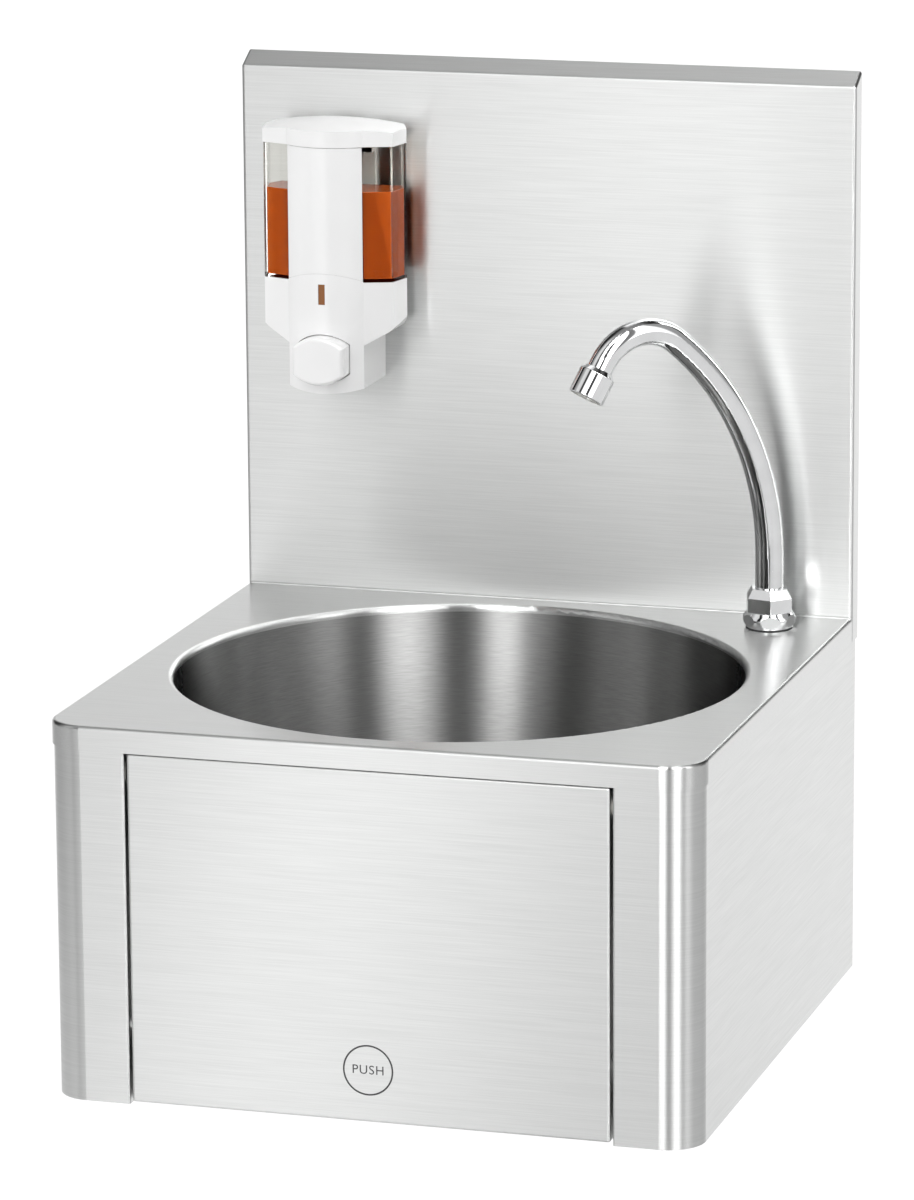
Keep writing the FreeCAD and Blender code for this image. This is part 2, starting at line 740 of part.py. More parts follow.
def inlet(side):
    """Threaded inlet under one end of the mixing block, with its spanner flats."""
    x = side * inlet_offset
    y = valve_back_y + block_r / 2
    top = push_z - block_r + 3
    hex_top = push_z - block_r - 1
    hex_bottom = hex_top - inlet_hex_height
    bottom = hex_bottom - inlet_thread_length
    body = rod(thread_half_inch_r, Vector(x, y, bottom), Vector(x, y, top))
    body = body.fuse(hexagon(inlet_hex_flats, Vector(x, y, hex_bottom), Vector(x, y, hex_top)))
    body = body.cut(rod(inlet_bore_r, Vector(x, y, bottom - 1), Vector(x, y, top + 1)))
    return body.cut(mixing_core(block_r))


def check_valve(side):
    x = side * inlet_offset
    y = valve_back_y + block_r / 2
    top = push_z - block_r - 1 - inlet_hex_height
    return tube(inlet_bore_r, inlet_bore_r / 2, Vector(x, y, top - check_valve_length), Vector(x, y, top))


def valve_spring():
    return coil(valve_spring_r, valve_spring_wire_r, valve_spring_turns,
                Vector(0, head_y + button_thickness, push_z), Vector(0, nose_y, push_z))


def valve_bracket():
    foot_z = crossbar_z + bracket_sheet
    upright = box(-bracket_half_width, bracket_half_width, bracket_y, bracket_y + bracket_sheet,
                  crossbar_z, push_z + bracket_above_axis)
    foot = box(-bracket_half_width, bracket_half_width, bracket_y, bracket_y + bracket_foot,
               crossbar_z, foot_z)
    bracket = upright.fuse(foot).cut(rod(valve_nose_r + seat_gap, Vector(0, bracket_y - 1, push_z),
                                         Vector(0, bracket_y + bracket_sheet + 1, push_z)))
    return bracket.cut(bracket_bolt_holes())


def bracket_bolt_places():
    y = bracket_y + bolt_inset
    return [Vector(-bolt_spacing / 2, y, 0), Vector(bolt_spacing / 2, y, 0)]


def bracket_bolt_holes():
    low = Vector(0, 0, crossbar_z - 3 * crossbar_sheet)
    high = Vector(0, 0, crossbar_z + 3 * bracket_sheet)
    first, second = [rod(bolt_r + seat_gap, place + low, place + high) for place in bracket_bolt_places()]
    return first.fuse(second)


def bracket_bolt(place):
    head_z = Vector(0, 0, crossbar_z + bracket_sheet)
    end_z = Vector(0, 0, crossbar_z - crossbar_sheet - nut_height - 1)
    head = hexagon(bolt_flats, place + head_z, place + head_z + Vector(0, 0, bolt_head))
    return head.fuse(rod(bolt_r, place + end_z, place + head_z))


def bracket_nut(place):
    top = Vector(0, 0, crossbar_z - crossbar_sheet)
    return hex_nut(bolt_flats, bolt_r, place + top - Vector(0, 0, nut_height), place + top)


def valve_crossbar():
    """Channel between the side casings, under the valve."""
    x = casing_x - sheet
    y0 = crossbar_y
    y1 = y0 + crossbar_depth
    low = crossbar_z - crossbar_skirt
    bar = box(-x, x, y0, y1, low, crossbar_z)
    bar = bar.cut(box(-x, x, y0 + crossbar_sheet, y1 - crossbar_sheet, low, crossbar_z - crossbar_sheet))
    bar = bar.fuse([box(-x, -x + crossbar_sheet, y0, y1, low, low + crossbar_tab),
                    box(x - crossbar_sheet, x, y0, y1, low, low + crossbar_tab)])
    return bar.cut(bracket_bolt_holes()).removeSplitter()


# ---- Pipe from the valve to the tap --------------------------------------------------------
def outlet_pipe():
    points = [Vector(outlet_stub_end, outlet_y, push_z), Vector(tap_x, outlet_y, push_z),
              Vector(tap_x, tap_y, push_z), Vector(tap_x, tap_y, deck_z - tap_shank_drop)]
    path = bent_path(points, pipe_bend_r)
    along = points[1] - points[0]
    return swept(pipe_r, path, points[0], along).cut(swept(pipe_r - pipe_wall, path, points[0], along))


def pipe_nut(joint, towards):
    """Union nut: it covers the threaded stub on one side of joint and the pipe on the other."""
    start = joint - towards * pipe_nut_cover
    end = start + towards * pipe_nut_length
    nut = hexagon(pipe_nut_flats, start, end)
    nut = nut.cut(rod(thread_half_inch_r, start, joint))
    return nut.cut(rod(pipe_r, joint, end))


# ---- Waste ---------------------------------------------------------------------------------
def waste_strainer():
    bottom = seat_z + seal_thickness
    plate = turned([(0, bottom, 0), (strainer_r, bottom, 0), (strainer_r, bottom + strainer_thickness, 1),
                    (0, bottom + strainer_thickness, 0)], Vector(0, bowl_y, 0))
    low = Vector(0, bowl_y, bottom - 1)
    high = Vector(0, bowl_y, bottom + strainer_thickness + 1)
    plate = plate.cut(rod(waste_screw_r + seat_gap, low, high))
    for i in range(strainer_holes):
        angle = 2 * math.pi * i / strainer_holes
        place = Vector(strainer_pitch_r * math.cos(angle), strainer_pitch_r * math.sin(angle), 0)
        plate = plate.cut(rod(strainer_hole_r, place + low, place + high))
    return plate


def waste_seal(top):
    return tube(strainer_r - 1, strainer_r - 1 - seal_width, Vector(0, bowl_y, top - seal_thickness),
                Vector(0, bowl_y, top))


def waste_body():
    top = seat_z - sheet - seal_thickness
    cup = top - waste_cup_depth
    tail = cup - waste_tail_length
    bore_r = waste_thread_r - waste_wall
    outer_r = waste_cup_r - waste_wall
    inner_r = outer_r - waste_wall
    rim = top - waste_flange_thickness
    body = turned([(bore_r, tail, 0), (waste_thread_r, tail, 0), (waste_thread_r, cup, 0),
                   (outer_r, cup, 3), (outer_r, rim, 0), (strainer_r, rim, 0), (strainer_r, top, 0),
                   (inner_r, top, 0), (inner_r, cup + waste_wall, 2), (bore_r, cup + waste_wall, 0)],
                  Vector(0, bowl_y, 0))
    boss_top = top - 1
    boss_low = boss_top - waste_arm_height
    boss = rod(waste_boss_r, Vector(0, bowl_y, boss_low), Vector(0, bowl_y, boss_top))
    reach = outer_r - waste_wall / 2
    half = waste_arm_width / 2
    arms = [boss, box(-reach, reach, bowl_y - half, bowl_y + half, boss_low, boss_top),
            box(-half, half, bowl_y - reach, bowl_y + reach, boss_low, boss_top)]
    return body.fuse(arms).cut(rod(waste_screw_r, Vector(0, bowl_y, boss_low - 1), Vector(0, bowl_y, top)))


def waste_screw():
    head = seat_z + seal_thickness + strainer_thickness
    top = seat_z - sheet - seal_thickness - 1
    return turned([(0, top - waste_arm_height - 2, 0), (waste_screw_r, top - waste_arm_height - 2, 0),
                   (waste_screw_r, head, 0), (waste_screw_head_r, head, 0),
                   (waste_screw_head_r, head + 2.5, 1.5), (0, head + 2.5, 0)], Vector(0, bowl_y, 0))


# ---- Tap -----------------------------------------------------------------------------------
tap_axis = Vector(tap_x, tap_y, 0)
tap_base_z = deck_z + tap_seal_height
tap_hex_z = tap_base_z + tap_base_height
tap_cone_z = tap_hex_z + tap_hex_height
tube_foot_z = tap_hex_z + 0.6


def at_tap(height):
    return Vector(tap_x, tap_y, height)


def tap_base():
    """Domed ring under the hexagon, with six oval flats."""
    low = tap_base_z
    high = tap_hex_z
    waist_r = tap_hex_flats / 2 + 0.6
    dome = turned([(thread_half_inch_r, low, 0), (tap_base_foot_r, low, 0),
                   (tap_base_bulge_r, (low + high) / 2, tap_base_dome_r), (waist_r, high, 0),
                   (thread_half_inch_r, high, 0)], tap_axis)
    return dome.common(hexagon(tap_base_flats, at_tap(low - 1), at_tap(high + 1), tap_turn + 30))


def tap_body():
    """Hexagon with a six-sided cone on top, bored for the spout, its O-rings and its clip."""
    top = tap_cone_z + tap_cone_height
    body = hexagon(tap_hex_flats, at_tap(tap_hex_z), at_tap(tap_cone_z), tap_turn)
    rings = [hexagon_ring(tap_hex_flats, at_tap(tap_cone_z), tap_turn),
             hexagon_ring(2 * tap_cone_r, at_tap(top), tap_turn)]
    body = body.fuse(Part.makeLoft(rings, True, True)).removeSplitter()
    body = body.cut(rod(spout_r + running_gap, at_tap(tap_hex_z - 1), at_tap(top + 1)))
    body = body.cut(rod(tap_chamber_r, at_tap(tap_hex_z - 1), at_tap(tap_hex_z + tap_chamber_height)))
    for height in o_ring_heights():
        groove_r = spout_r + running_gap + 2 * o_ring_r
        body = body.cut(rod(groove_r, at_tap(height - o_ring_grip), at_tap(height + o_ring_grip)))
    return body


def o_ring_heights():
    first = tap_hex_z + tap_chamber_height + 2.2
    return [first, first + 4.0]


def o_ring(height):
    return Part.makeTorus(spout_r + running_gap + o_ring_r, o_ring_r, at_tap(height))


def tap_shank():
    """Threaded tail that passes through the deck and screws up into the base ring."""
    return tube(thread_half_inch_r, tap_shank_bore_r, at_tap(deck_z - tap_shank_drop), at_tap(tap_hex_z))


def tap_seal():
    return tube(tap_seal_r, thread_half_inch_r, at_tap(deck_z), at_tap(tap_base_z))


def tap_washer():
    top = deck_z - sheet
    return tube(tap_washer_r, thread_half_inch_r, at_tap(top - tap_washer_height), at_tap(top))


def tap_locknut():
    top = deck_z - sheet - tap_washer_height
    return hex_nut(tap_nut_flats, thread_half_inch_r, at_tap(top - tap_nut_height), at_tap(top))


# ---- Spout ---------------------------------------------------------------------------------
spout_way = (Vector(0, bowl_y, 0) - tap_axis).normalize()


def on_spout(reach, height):
    """Point in the spout's upright plane: reach out from the tap, height above the deck."""
    return tap_axis + spout_way * reach + Vector(0, 0, deck_z + height)


def spout_arc(start, heading, radius, turn):
    """Arc in the spout's plane that bends towards the bowl. Returns its edge, end and heading."""
    centre = (start[0] + radius * math.sin(heading), start[1] - radius * math.cos(heading))

    def at(swing):
        way = heading - swing
        return (centre[0] - radius * math.sin(way), centre[1] + radius * math.cos(way))
    end = at(turn)
    edge = Part.Arc(on_spout(*start), on_spout(*at(turn / 2)), on_spout(*end)).toShape()
    return edge, end, heading - turn


def spout_line():
    """Centre line of the bent part of the spout, with its end and heading at the aerator."""
    top = (0.0, spout_straight)
    back, back_end, way = spout_arc(top, math.pi / 2, spout_back_r, math.radians(spout_back_turn))
    hook, hook_end, way = spout_arc(back_end, way, spout_hook_r, math.radians(spout_hook_turn))
    tip = (hook_end[0] + spout_tip * math.cos(way), hook_end[1] + spout_tip * math.sin(way))
    edges = [back, hook, Part.makeLine(on_spout(*hook_end), on_spout(*tip))]
    return Part.Wire(edges), on_spout(*tip), spout_way * math.cos(way) + Vector(0, 0, math.sin(way))


def neck(foot_r, tip_r):
    """Bent part of the spout, solid, narrowing from foot to tip."""
    path, tip, way = spout_line()
    circles = [Part.Wire([Part.makeCircle(foot_r, on_spout(0, spout_straight), Vector(0, 0, 1))]),
               Part.Wire([Part.makeCircle(tip_r, tip, way)])]
    return path.makePipeShell(circles, True, False)


def spout_tube():
    foot = on_spout(0, tube_foot_z - deck_z)
    bend = on_spout(0, spout_straight)
    outer = rod(spout_r, foot, bend).fuse(neck(spout_r, spout_end_r))
    inner = rod(spout_r - spout_wall, foot, bend).fuse(neck(spout_r - spout_wall, spout_end_r - spout_wall))
    return outer.cut(inner).removeSplitter()


def spout_clip():
    """Ring on the foot of the tube that keeps it in the tap body."""
    return tube(spout_r + spout_clip_height, spout_r, at_tap(tube_foot_z),
                at_tap(tube_foot_z + spout_clip_width))


def aerator_housing():
    """Sleeve on the end of the spout, drawn along the flow."""
    _, tip, way = spout_line()
    end = aerator_cone + aerator_length
    neck_r = spout_end_r + seat_gap
    hollow_r = aerator_r - aerator_wall
    return turned([(neck_r, 0, 0), (neck_r + 0.7, 0, 0), (aerator_r, aerator_cone, 0.6),
                   (aerator_r, end, 0.8), (hollow_r, end, 0), (hollow_r, aerator_cone + 2, 0),
                   (neck_r, aerator_cone + 2, 0)], tip - way * aerator_cone, way)


def aerator_insert():
    """Stream former with a ring of slots, set back in the sleeve."""
    _, tip, way = spout_line()
    outlet = aerator_length - insert_recess
    body = turned([(0, outlet - insert_length, 0), (aerator_r - aerator_wall, outlet - insert_length, 0),
                   (aerator_r - aerator_wall, outlet, 0), (0, outlet, 0)], tip, way)
    for radius in (3.0, 6.0):
        body = body.cut(turned([(radius, outlet - 3, 0), (radius + 1.4, outlet - 3, 0),
                                (radius + 1.4, outlet + 1, 0), (radius, outlet + 1, 0)], tip, way))
    return body


def aerator_seal():
    _, tip, way = spout_line()
    start = tip + way * 2
    outlet = aerator_length - insert_recess - insert_length
    return tube(aerator_r - aerator_wall, spout_end_r - 2 * spout_wall, start, tip + way * outlet)


# ---- Soap dispenser ------------------------------------------------------------------------
def at_soap(x, depth, height):
    """Point from the dispenser's centre line, the backsplash's face and the deck."""
    return Vector(soap_x + x, face_y - depth, deck_z + height)


def soap_plan(grow, height):
    """Outline of the dispenser in plan, without the bowed strip."""
    half = [soap_back, soap_wide, soap_front, soap_strip]
    points = [at_soap(-x, depth, height) for x, depth in half]
    points += [at_soap(x, depth, height) for x, depth in reversed(half)]
    wire = Part.makePolygon(points + [points[0]])
    return wire.makeOffset2D(grow, 2) if grow else wire


def soap_column(grow, low, high):
    return Part.Face(soap_plan(grow, low)).extrude(Vector(0, 0, high - low))


def bow_column(grow, low, high, rear_depth):
    """Column between a flat back and the bowed front strip."""
    x = soap_strip[0] + grow
    depth = soap_strip[1] + grow
    left = at_soap(-x, depth, low)
    right = at_soap(x, depth, low)
    front = Part.Arc(left, at_soap(0, soap_apex_depth + grow, low), right).toShape()
    rear = [right, at_soap(x, rear_depth, low), at_soap(-x, rear_depth, low), left]
    wire = Part.Wire([front] + Part.makePolygon(rear).Edges)
    return Part.Face(wire).extrude(Vector(0, 0, high - low))


def arch_block(above):
    """Everything in front of the reservoir above, or below, the arched seam."""
    x = soap_strip[0] + 2
    edge_drop = arch_rise / soap_strip[0] ** 2 * (x ** 2 - soap_strip[0] ** 2)
    left = at_soap(-x, 0, arch_edge - edge_drop)
    right = at_soap(x, 0, arch_edge - edge_drop)
    seam = Part.Arc(left, at_soap(0, 0, arch_edge + arch_rise), right).toShape()
    far = soap_lid_bottom + 20 if above else soap_bottom - 20
    frame = Part.makePolygon([right, at_soap(x, 0, far), at_soap(-x, 0, far), left])
    face = Part.Face(Part.Wire([seam] + frame.Edges))
    return face.extrude(Vector(0, -soap_apex_depth - 20, 0))


def dispenser_bracket():
    """Plate screwed to the backsplash, with a hook for the reservoir and two hinge ears."""
    plate = box(soap_x - bracket_x, soap_x + bracket_x, face_y - bracket_plate, face_y,
                deck_z + bracket_bottom, deck_z + bracket_top)
    hook = box(soap_x - bracket_x, soap_x + bracket_x, face_y - soap_back[1], face_y,
               deck_z + bracket_top - 6, deck_z + bracket_top)
    bracket = plate.fuse(hook)
    axis = at_soap(0, lid_axis_depth, lid_axis_height)
    for side in (-1, 1):
        outer = side * ear_outer
        inner = side * (ear_outer - ear_width)
        start = axis + Vector(min(outer, inner), 0, 0)
        ear = rod(lid_knuckle_r, start, start + Vector(ear_width, 0, 0))
        ear = ear.fuse(box(start.x, start.x + ear_width, axis.y - lid_knuckle_r, axis.y + lid_knuckle_r,
                           deck_z + bracket_top - 1, axis.z))
        bracket = bracket.fuse(ear)
    reach = Vector(ear_outer + 1, 0, 0)
    bracket = bracket.cut(rod(lid_pin_r, axis - reach, axis + reach))
    for height in screw_heights:
        bracket = bracket.cut(rod(screw_r + seat_gap, at_soap(0, -1, height),
                                  at_soap(0, bracket_plate + 1, height)))
    return bracket


def dispenser_screw(height):
    head = at_soap(0, bracket_plate, height)
    end = at_soap(0, -sheet - sheet - screw_nut - 1, height)
    return rod(screw_r, end, head).fuse(rod(screw_head_r, head, head + Vector(0, -screw_head, 0)))


def dispenser_nut(height):
    start = at_soap(0, -2 * sheet, height)
    return hex_nut(screw_nut_flats, screw_r, start, start + Vector(0, screw_nut, 0))


def housing_side(inset):
    """Front view of the lower housing: shoulders that slope in to the pump box."""
    x = soap_wide[0] + 1 - inset
    shoulder_x = soap_strip[0] - inset
    top = soap_seam + (1 if inset else 0)
    slope = (soap_side_bottom - soap_shoulder) / (soap_wide[0] - soap_strip[0])
    rise = inset * math.sqrt(1 + slope ** 2)
    side = soap_side_bottom + rise
    shoulder = soap_shoulder + rise
    r = soap_side_r - inset
    corners = [(-x, top, 0), (-x, side, r), (-shoulder_x, shoulder, 0),
               (shoulder_x, shoulder, 0), (x, side, r), (x, top, 0)]
    placed = [(soap_x + a, deck_z + b, r) for a, b, r in corners]
    return prism(placed, "xz", face_y - soap_apex_depth, face_y)


def dispenser_housing():
    """White lower housing: a collar under the reservoir and the pump box below it."""
    outer = soap_column(0, soap_shoulder - 10, soap_seam).common(housing_side(0))
    pump_box = box(soap_x - soap_strip[0], soap_x + soap_strip[0], face_y - soap_strip[1], face_y,
                   deck_z + soap_bottom, deck_z + soap_seam)
    inner = soap_column(-soap_wall, soap_shoulder - 10, soap_seam + 1).common(housing_side(soap_wall))
    hollow_x = soap_strip[0] - soap_wall
    room = box(soap_x - hollow_x, soap_x + hollow_x, face_y - soap_strip[1] - 1, face_y + 1,
               deck_z + soap_bottom + soap_wall, deck_z + soap_seam + 1)
    housing = outer.fuse(pump_box).cut(inner).cut(room)
    drip = rod(nozzle_r + seat_gap, at_soap(0, nozzle_depth, soap_bottom - 1),
               at_soap(0, nozzle_depth, soap_bottom + soap_wall + 1))
    return housing.cut(drip).removeSplitter()


def dispenser_reservoir():
    """Clear container, open at the top, with an outlet neck."""
    tank = soap_column(0, soap_seam, soap_lid_bottom - contact_gap)
    tank = tank.cut(soap_column(-soap_wall, soap_seam + soap_wall, soap_lid_bottom))
    neck_top = at_soap(0, feed_depth, soap_seam)
    neck = rod(feed_r + soap_wall, neck_top - Vector(0, 0, 8), neck_top + Vector(0, 0, 1))
    return tank.fuse(neck).cut(rod(feed_r, neck_top - Vector(0, 0, 9), neck_top + Vector(0, 0, 4)))


def soap_liquid():
    return soap_column(-soap_wall, soap_seam + soap_wall, soap_level)


def bow_shell(low, high):
    """Bowed front strip, hollow at the back."""
    shell = bow_column(0, low, high, soap_strip[1])
    return shell.cut(bow_column(-soap_wall, low - 1, high + 1, soap_strip[1] - 5))


def dispenser_cover():
    """White strip in front of the reservoir, above the arched seam."""
    cover = bow_shell(arch_edge - 10, soap_lid_bottom - contact_gap)
    return cover.common(arch_block(True))


def press_outline(grow, depth, reach):
    """Push button's section: straight sides, with a bowed top and bottom."""
    side = press_half_width + grow
    high = press_half_height + grow
    corner = press_side_half + grow
    arcs = []
    for way in (1, -1):
        arcs.append(Part.Arc(at_soap(-way * side, depth, press_z + way * corner),
                             at_soap(0, depth, press_z + way * high),
                             at_soap(way * side, depth, press_z + way * corner)).toShape())
    sides = [Part.makeLine(at_soap(way * side, depth, press_z + corner),
                           at_soap(way * side, depth, press_z - corner)) for way in (1, -1)]
    face = Part.Face(Part.Wire([arcs[0], sides[0], arcs[1], sides[1]]))
    return face.extrude(Vector(0, depth - reach, 0))


def dispenser_front():
    """White front of the pump box, with its chin, the button's opening and the window's slot."""
    low = soap_bottom - chin_drop
    front = bow_shell(low, arch_edge + arch_rise + 1).common(arch_block(False))
    floor = bow_column(0, low, soap_bottom + soap_wall, soap_strip[1])
    front = front.fuse(floor)
    chin_reach = soap_strip[0] + 4
    left = at_soap(-chin_reach, 0, soap_bottom + 1)
    right = at_soap(chin_reach, 0, soap_bottom + 1)
    chin = Part.Arc(left, at_soap(0, 0, low), right).toShape()
    below = low - 5
    under = Part.makePolygon([right, at_soap(chin_reach, 0, below), at_soap(-chin_reach, 0, below), left])
    cutter = Part.Face(Part.Wire([chin] + under.Edges)).extrude(Vector(0, -soap_apex_depth - 5, 0))
    front = front.cut(cutter).cut(press_outline(press_gap, soap_strip[1] - 5, press_face_depth))
    slot = box(soap_x - window_width / 2, soap_x + window_width / 2, face_y - soap_apex_depth - 1,
               face_y - soap_apex_depth + 4, deck_z + window_bottom, deck_z + window_bottom + window_height)
    return front.cut(slot)


def dispenser_window():
    return box(soap_x - window_width / 2, soap_x + window_width / 2, face_y - soap_apex_depth + 0.5,
               face_y - soap_apex_depth + 0.5 + window_depth, deck_z + window_bottom,
               deck_z + window_bottom + window_height)


def lid_block(grow, low, high):
    """Column with the lid's plan: the faceted outline and the bowed strip together."""
    return soap_column(lid_overhang + grow, low, high).fuse(
        bow_column(lid_overhang + grow, low, high, soap_strip[1] - 10))


def crown(grow):
    """Large ball whose top is the lid's crowned surface."""
    top = soap_crown_top + grow
    return Part.makeSphere(soap_crown_r + grow, at_soap(0, soap_crown_depth, top - soap_crown_r - grow))


def dispenser_lid():
    """Crowned lid with a band all round and two hinge knuckles at the back."""
    lid = lid_block(0, soap_lid_bottom, soap_crown_top + 1).common(crown(0))
    room = lid_block(-soap_wall, soap_lid_bottom - 1, soap_crown_top + 1).common(crown(-soap_wall))
    lid = lid.cut(room)
    axis = at_soap(0, lid_axis_depth, lid_axis_height)
    for side in (-1, 1):
        near = side * (ear_outer + knuckle_gap)
        far = side * (ear_outer + knuckle_gap + knuckle_width)
        x0 = axis.x + min(near, far)
        knuckle = rod(lid_knuckle_r, Vector(x0, axis.y, axis.z), Vector(x0 + knuckle_width, axis.y, axis.z))
        arm_end = face_y - soap_back[1] - 1
        arm = box(x0, x0 + knuckle_width, arm_end, axis.y, axis.z - lid_knuckle_r,
                  axis.z + lid_knuckle_r - 1)
        lid = lid.fuse(knuckle.fuse(arm))
    far = Vector(ear_outer + knuckle_gap + knuckle_width + 1, 0, 0)
    return lid.cut(rod(lid_pin_r + running_gap, axis - far, axis + far))


def lid_pin():
    axis = at_soap(0, lid_axis_depth, lid_axis_height)
    half = Vector(ear_outer + knuckle_gap + knuckle_width, 0, 0)
    return rod(lid_pin_r, axis - half, axis + half)


def dispenser_button():
    """Push button: a rounded cap, hollow at the back."""
    cap = press_outline(0, press_skirt_depth, press_face_depth)
    face = face_y - press_face_depth
    cap = rounded(cap, press_edge_r, lambda edge: lies_at(edge, "y", face))
    return cap.cut(press_outline(-soap_wall, press_skirt_depth - 1, press_face_depth - soap_wall))


def dispenser_piston():
    disc = rod(pump_bore_r - running_gap, at_soap(0, piston_from, press_z),
               at_soap(0, piston_from + piston_length, press_z))
    return disc.fuse(rod(rod_r, at_soap(0, piston_from, press_z),
                         at_soap(0, press_face_depth - soap_wall, press_z)))


def dispenser_cylinder():
    """Pump cylinder with its feed tube on top and its outlet nozzle underneath."""
    body = rod(pump_r, at_soap(0, bracket_plate, press_z), at_soap(0, pump_front, press_z))
    nozzle_end = at_soap(0, nozzle_depth, soap_bottom - 1.5)
    nozzle_top = at_soap(0, nozzle_depth, press_z)
    feed_end = at_soap(0, feed_depth, press_z)
    feed_top = at_soap(0, feed_depth, soap_seam)
    body = body.fuse([rod(nozzle_r, nozzle_end, nozzle_top), rod(feed_r, feed_end, feed_top)])
    body = body.cut(rod(pump_bore_r, at_soap(0, bracket_plate + soap_wall, press_z),
                        at_soap(0, pump_front + 1, press_z)))
    body = body.cut(rod(nozzle_bore_r, nozzle_end - Vector(0, 0, 1), nozzle_top))
    body = body.cut(rod(nozzle_bore_r, feed_end, feed_top + Vector(0, 0, 1)))
    return body


def pump_spring():
    return coil(pump_spring_r, pump_spring_wire_r, pump_spring_turns,
                at_soap(0, press_face_depth - soap_wall, press_z), at_soap(0, pump_front, press_z))


# ---- All pieces ----------------------------------------------------------------------------
os.makedirs("parts", exist_ok=True)
right_casing = side_casing()
bolt_places = bracket_bolt_places()
pieces = {
    "basin_deck": [basin_deck()],
    "basin_bowl": [basin_bowl()],
    "backsplash": [backsplash()],
    "backsplash_stiffeners": [splash_stiffener(height) for height in screw_heights],
    "side_casing_right": [right_casing],
    "side_casing_left": [mirrored(right_casing)],
    "rear_rail_upper": [rear_rail(hole_rise / 2, 1)],
    "rear_rail_lower": [rear_rail(-hole_rise / 2, -1)],
    "hinge_pins": [hinge_pin(), mirrored(hinge_pin())],
    "hinge_clips": [hinge_clip(), mirrored(hinge_clip())],
    "stop_pins": [stop_pin(), mirrored(stop_pin())],
    "valve_crossbar": [valve_crossbar()],
    "valve_bracket": [valve_bracket()],
    "bracket_bolts": [bracket_bolt(place) for place in bolt_places],
    "bracket_nuts": [bracket_nut(place) for place in bolt_places],
    "valve_body": [valve_body()],
    "valve_locknut": [hex_nut(pipe_nut_flats, valve_nose_r, Vector(0, bracket_y - nut_height, push_z),
                              Vector(0, bracket_y, push_z))],
    "valve_spring": [valve_spring()],
    "mixing_block": [mixing_block()],
    "cold_inlet": [inlet(1)],
    "hot_inlet": [inlet(-1)],
    "check_valves": [check_valve(1), check_valve(-1)],
    "outlet_pipe": [outlet_pipe()],
    "pipe_nuts": [pipe_nut(Vector(outlet_stub_end, outlet_y, push_z), Vector(1, 0, 0)),
                  pipe_nut(at_tap(deck_z - tap_shank_drop), Vector(0, 0, -1))],
    "waste_strainer": [waste_strainer()],
    "waste_seals": [waste_seal(seat_z + seal_thickness), waste_seal(seat_z - sheet)],
    "waste_body": [waste_body()],
    "waste_screw": [waste_screw()],
    "tap_seal": [tap_seal()],
    "tap_base": [tap_base()],
    "tap_body": [tap_body()],
    "tap_o_rings": [o_ring(height) for height in o_ring_heights()],
    "tap_shank": [tap_shank()],
    "tap_washer": [tap_washer()],
    "tap_locknut": [tap_locknut()],
    "knee_panel": [knee_panel()],
    "panel_stiffener": [panel_hat()],
    "push_pad": [push_pad()],
    "hinge_bushes": [hinge_bush(), mirrored(hinge_bush())],
    "valve_plunger": [valve_plunger()],
    "spout_tube": [spout_tube()],
    "spout_clip": [spout_clip()],
    "aerator_housing": [aerator_housing()],
    "aerator_insert": [aerator_insert()],
    "aerator_seal": [aerator_seal()],
    "dispenser_bracket": [dispenser_bracket()],
    "dispenser_screws": [dispenser_screw(height) for height in screw_heights],
    "dispenser_nuts": [dispenser_nut(height) for height in screw_heights],
    "dispenser_housing": [dispenser_housing()],
    "dispenser_front": [dispenser_front()],
    "dispenser_cover": [dispenser_cover()],
    "dispenser_window": [dispenser_window()],
    "dispenser_reservoir": [dispenser_reservoir()],
    "soap_liquid": [soap_liquid()],
    "dispenser_cylinder": [dispenser_cylinder()],
    "dispenser_lid_pin": [lid_pin()],
    "dispenser_lid": [dispenser_lid()],
    "dispenser_button": [dispenser_button()],
    "dispenser_piston": [dispenser_piston()],
    "dispenser_spring": [pump_spring()],
}
for name, solids in pieces.items():
    save(name, solids)
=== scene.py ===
import math
import random

import bpy
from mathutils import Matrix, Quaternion, Vector


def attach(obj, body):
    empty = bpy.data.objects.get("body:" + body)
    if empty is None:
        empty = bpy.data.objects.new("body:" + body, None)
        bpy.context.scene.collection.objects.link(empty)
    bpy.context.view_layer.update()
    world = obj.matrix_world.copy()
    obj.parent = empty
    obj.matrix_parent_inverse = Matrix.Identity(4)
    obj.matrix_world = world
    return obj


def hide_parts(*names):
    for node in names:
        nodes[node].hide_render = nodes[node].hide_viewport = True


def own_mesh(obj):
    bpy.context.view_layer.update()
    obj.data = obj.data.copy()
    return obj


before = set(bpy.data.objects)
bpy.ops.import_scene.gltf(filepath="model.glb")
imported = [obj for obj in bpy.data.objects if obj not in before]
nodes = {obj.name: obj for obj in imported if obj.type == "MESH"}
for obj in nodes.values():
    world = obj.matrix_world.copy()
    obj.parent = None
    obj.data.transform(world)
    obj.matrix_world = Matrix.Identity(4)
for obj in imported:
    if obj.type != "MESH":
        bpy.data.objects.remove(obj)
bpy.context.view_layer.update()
scene = bpy.context.scene

FRONT_WAY = 16.7         # the photographer stands this many degrees to the right of straight in front
FLOOR_Z = -0.85
BOWL_CENTRE = (0.0, -0.2075, 0.0)
BOWL_ARC_R = 0.17        # brush marks in the bowl are laid out along an arc of this radius
PANEL_FACE_Y = -0.399
PUSH_Z = -0.0645         # middle of the printed ring
RING_R = 0.0150
RING_LINE = 0.0005
LETTER_SIZE = 0.0078
SEAM_Y = -0.0152         # weld between deck and backsplash
SEAM_Z = 0.1327
SEAM_R = 0.0011
SEAM_LENGTH = 0.396
SEAM_RINGS = 455         # per metre, each with its own thickness


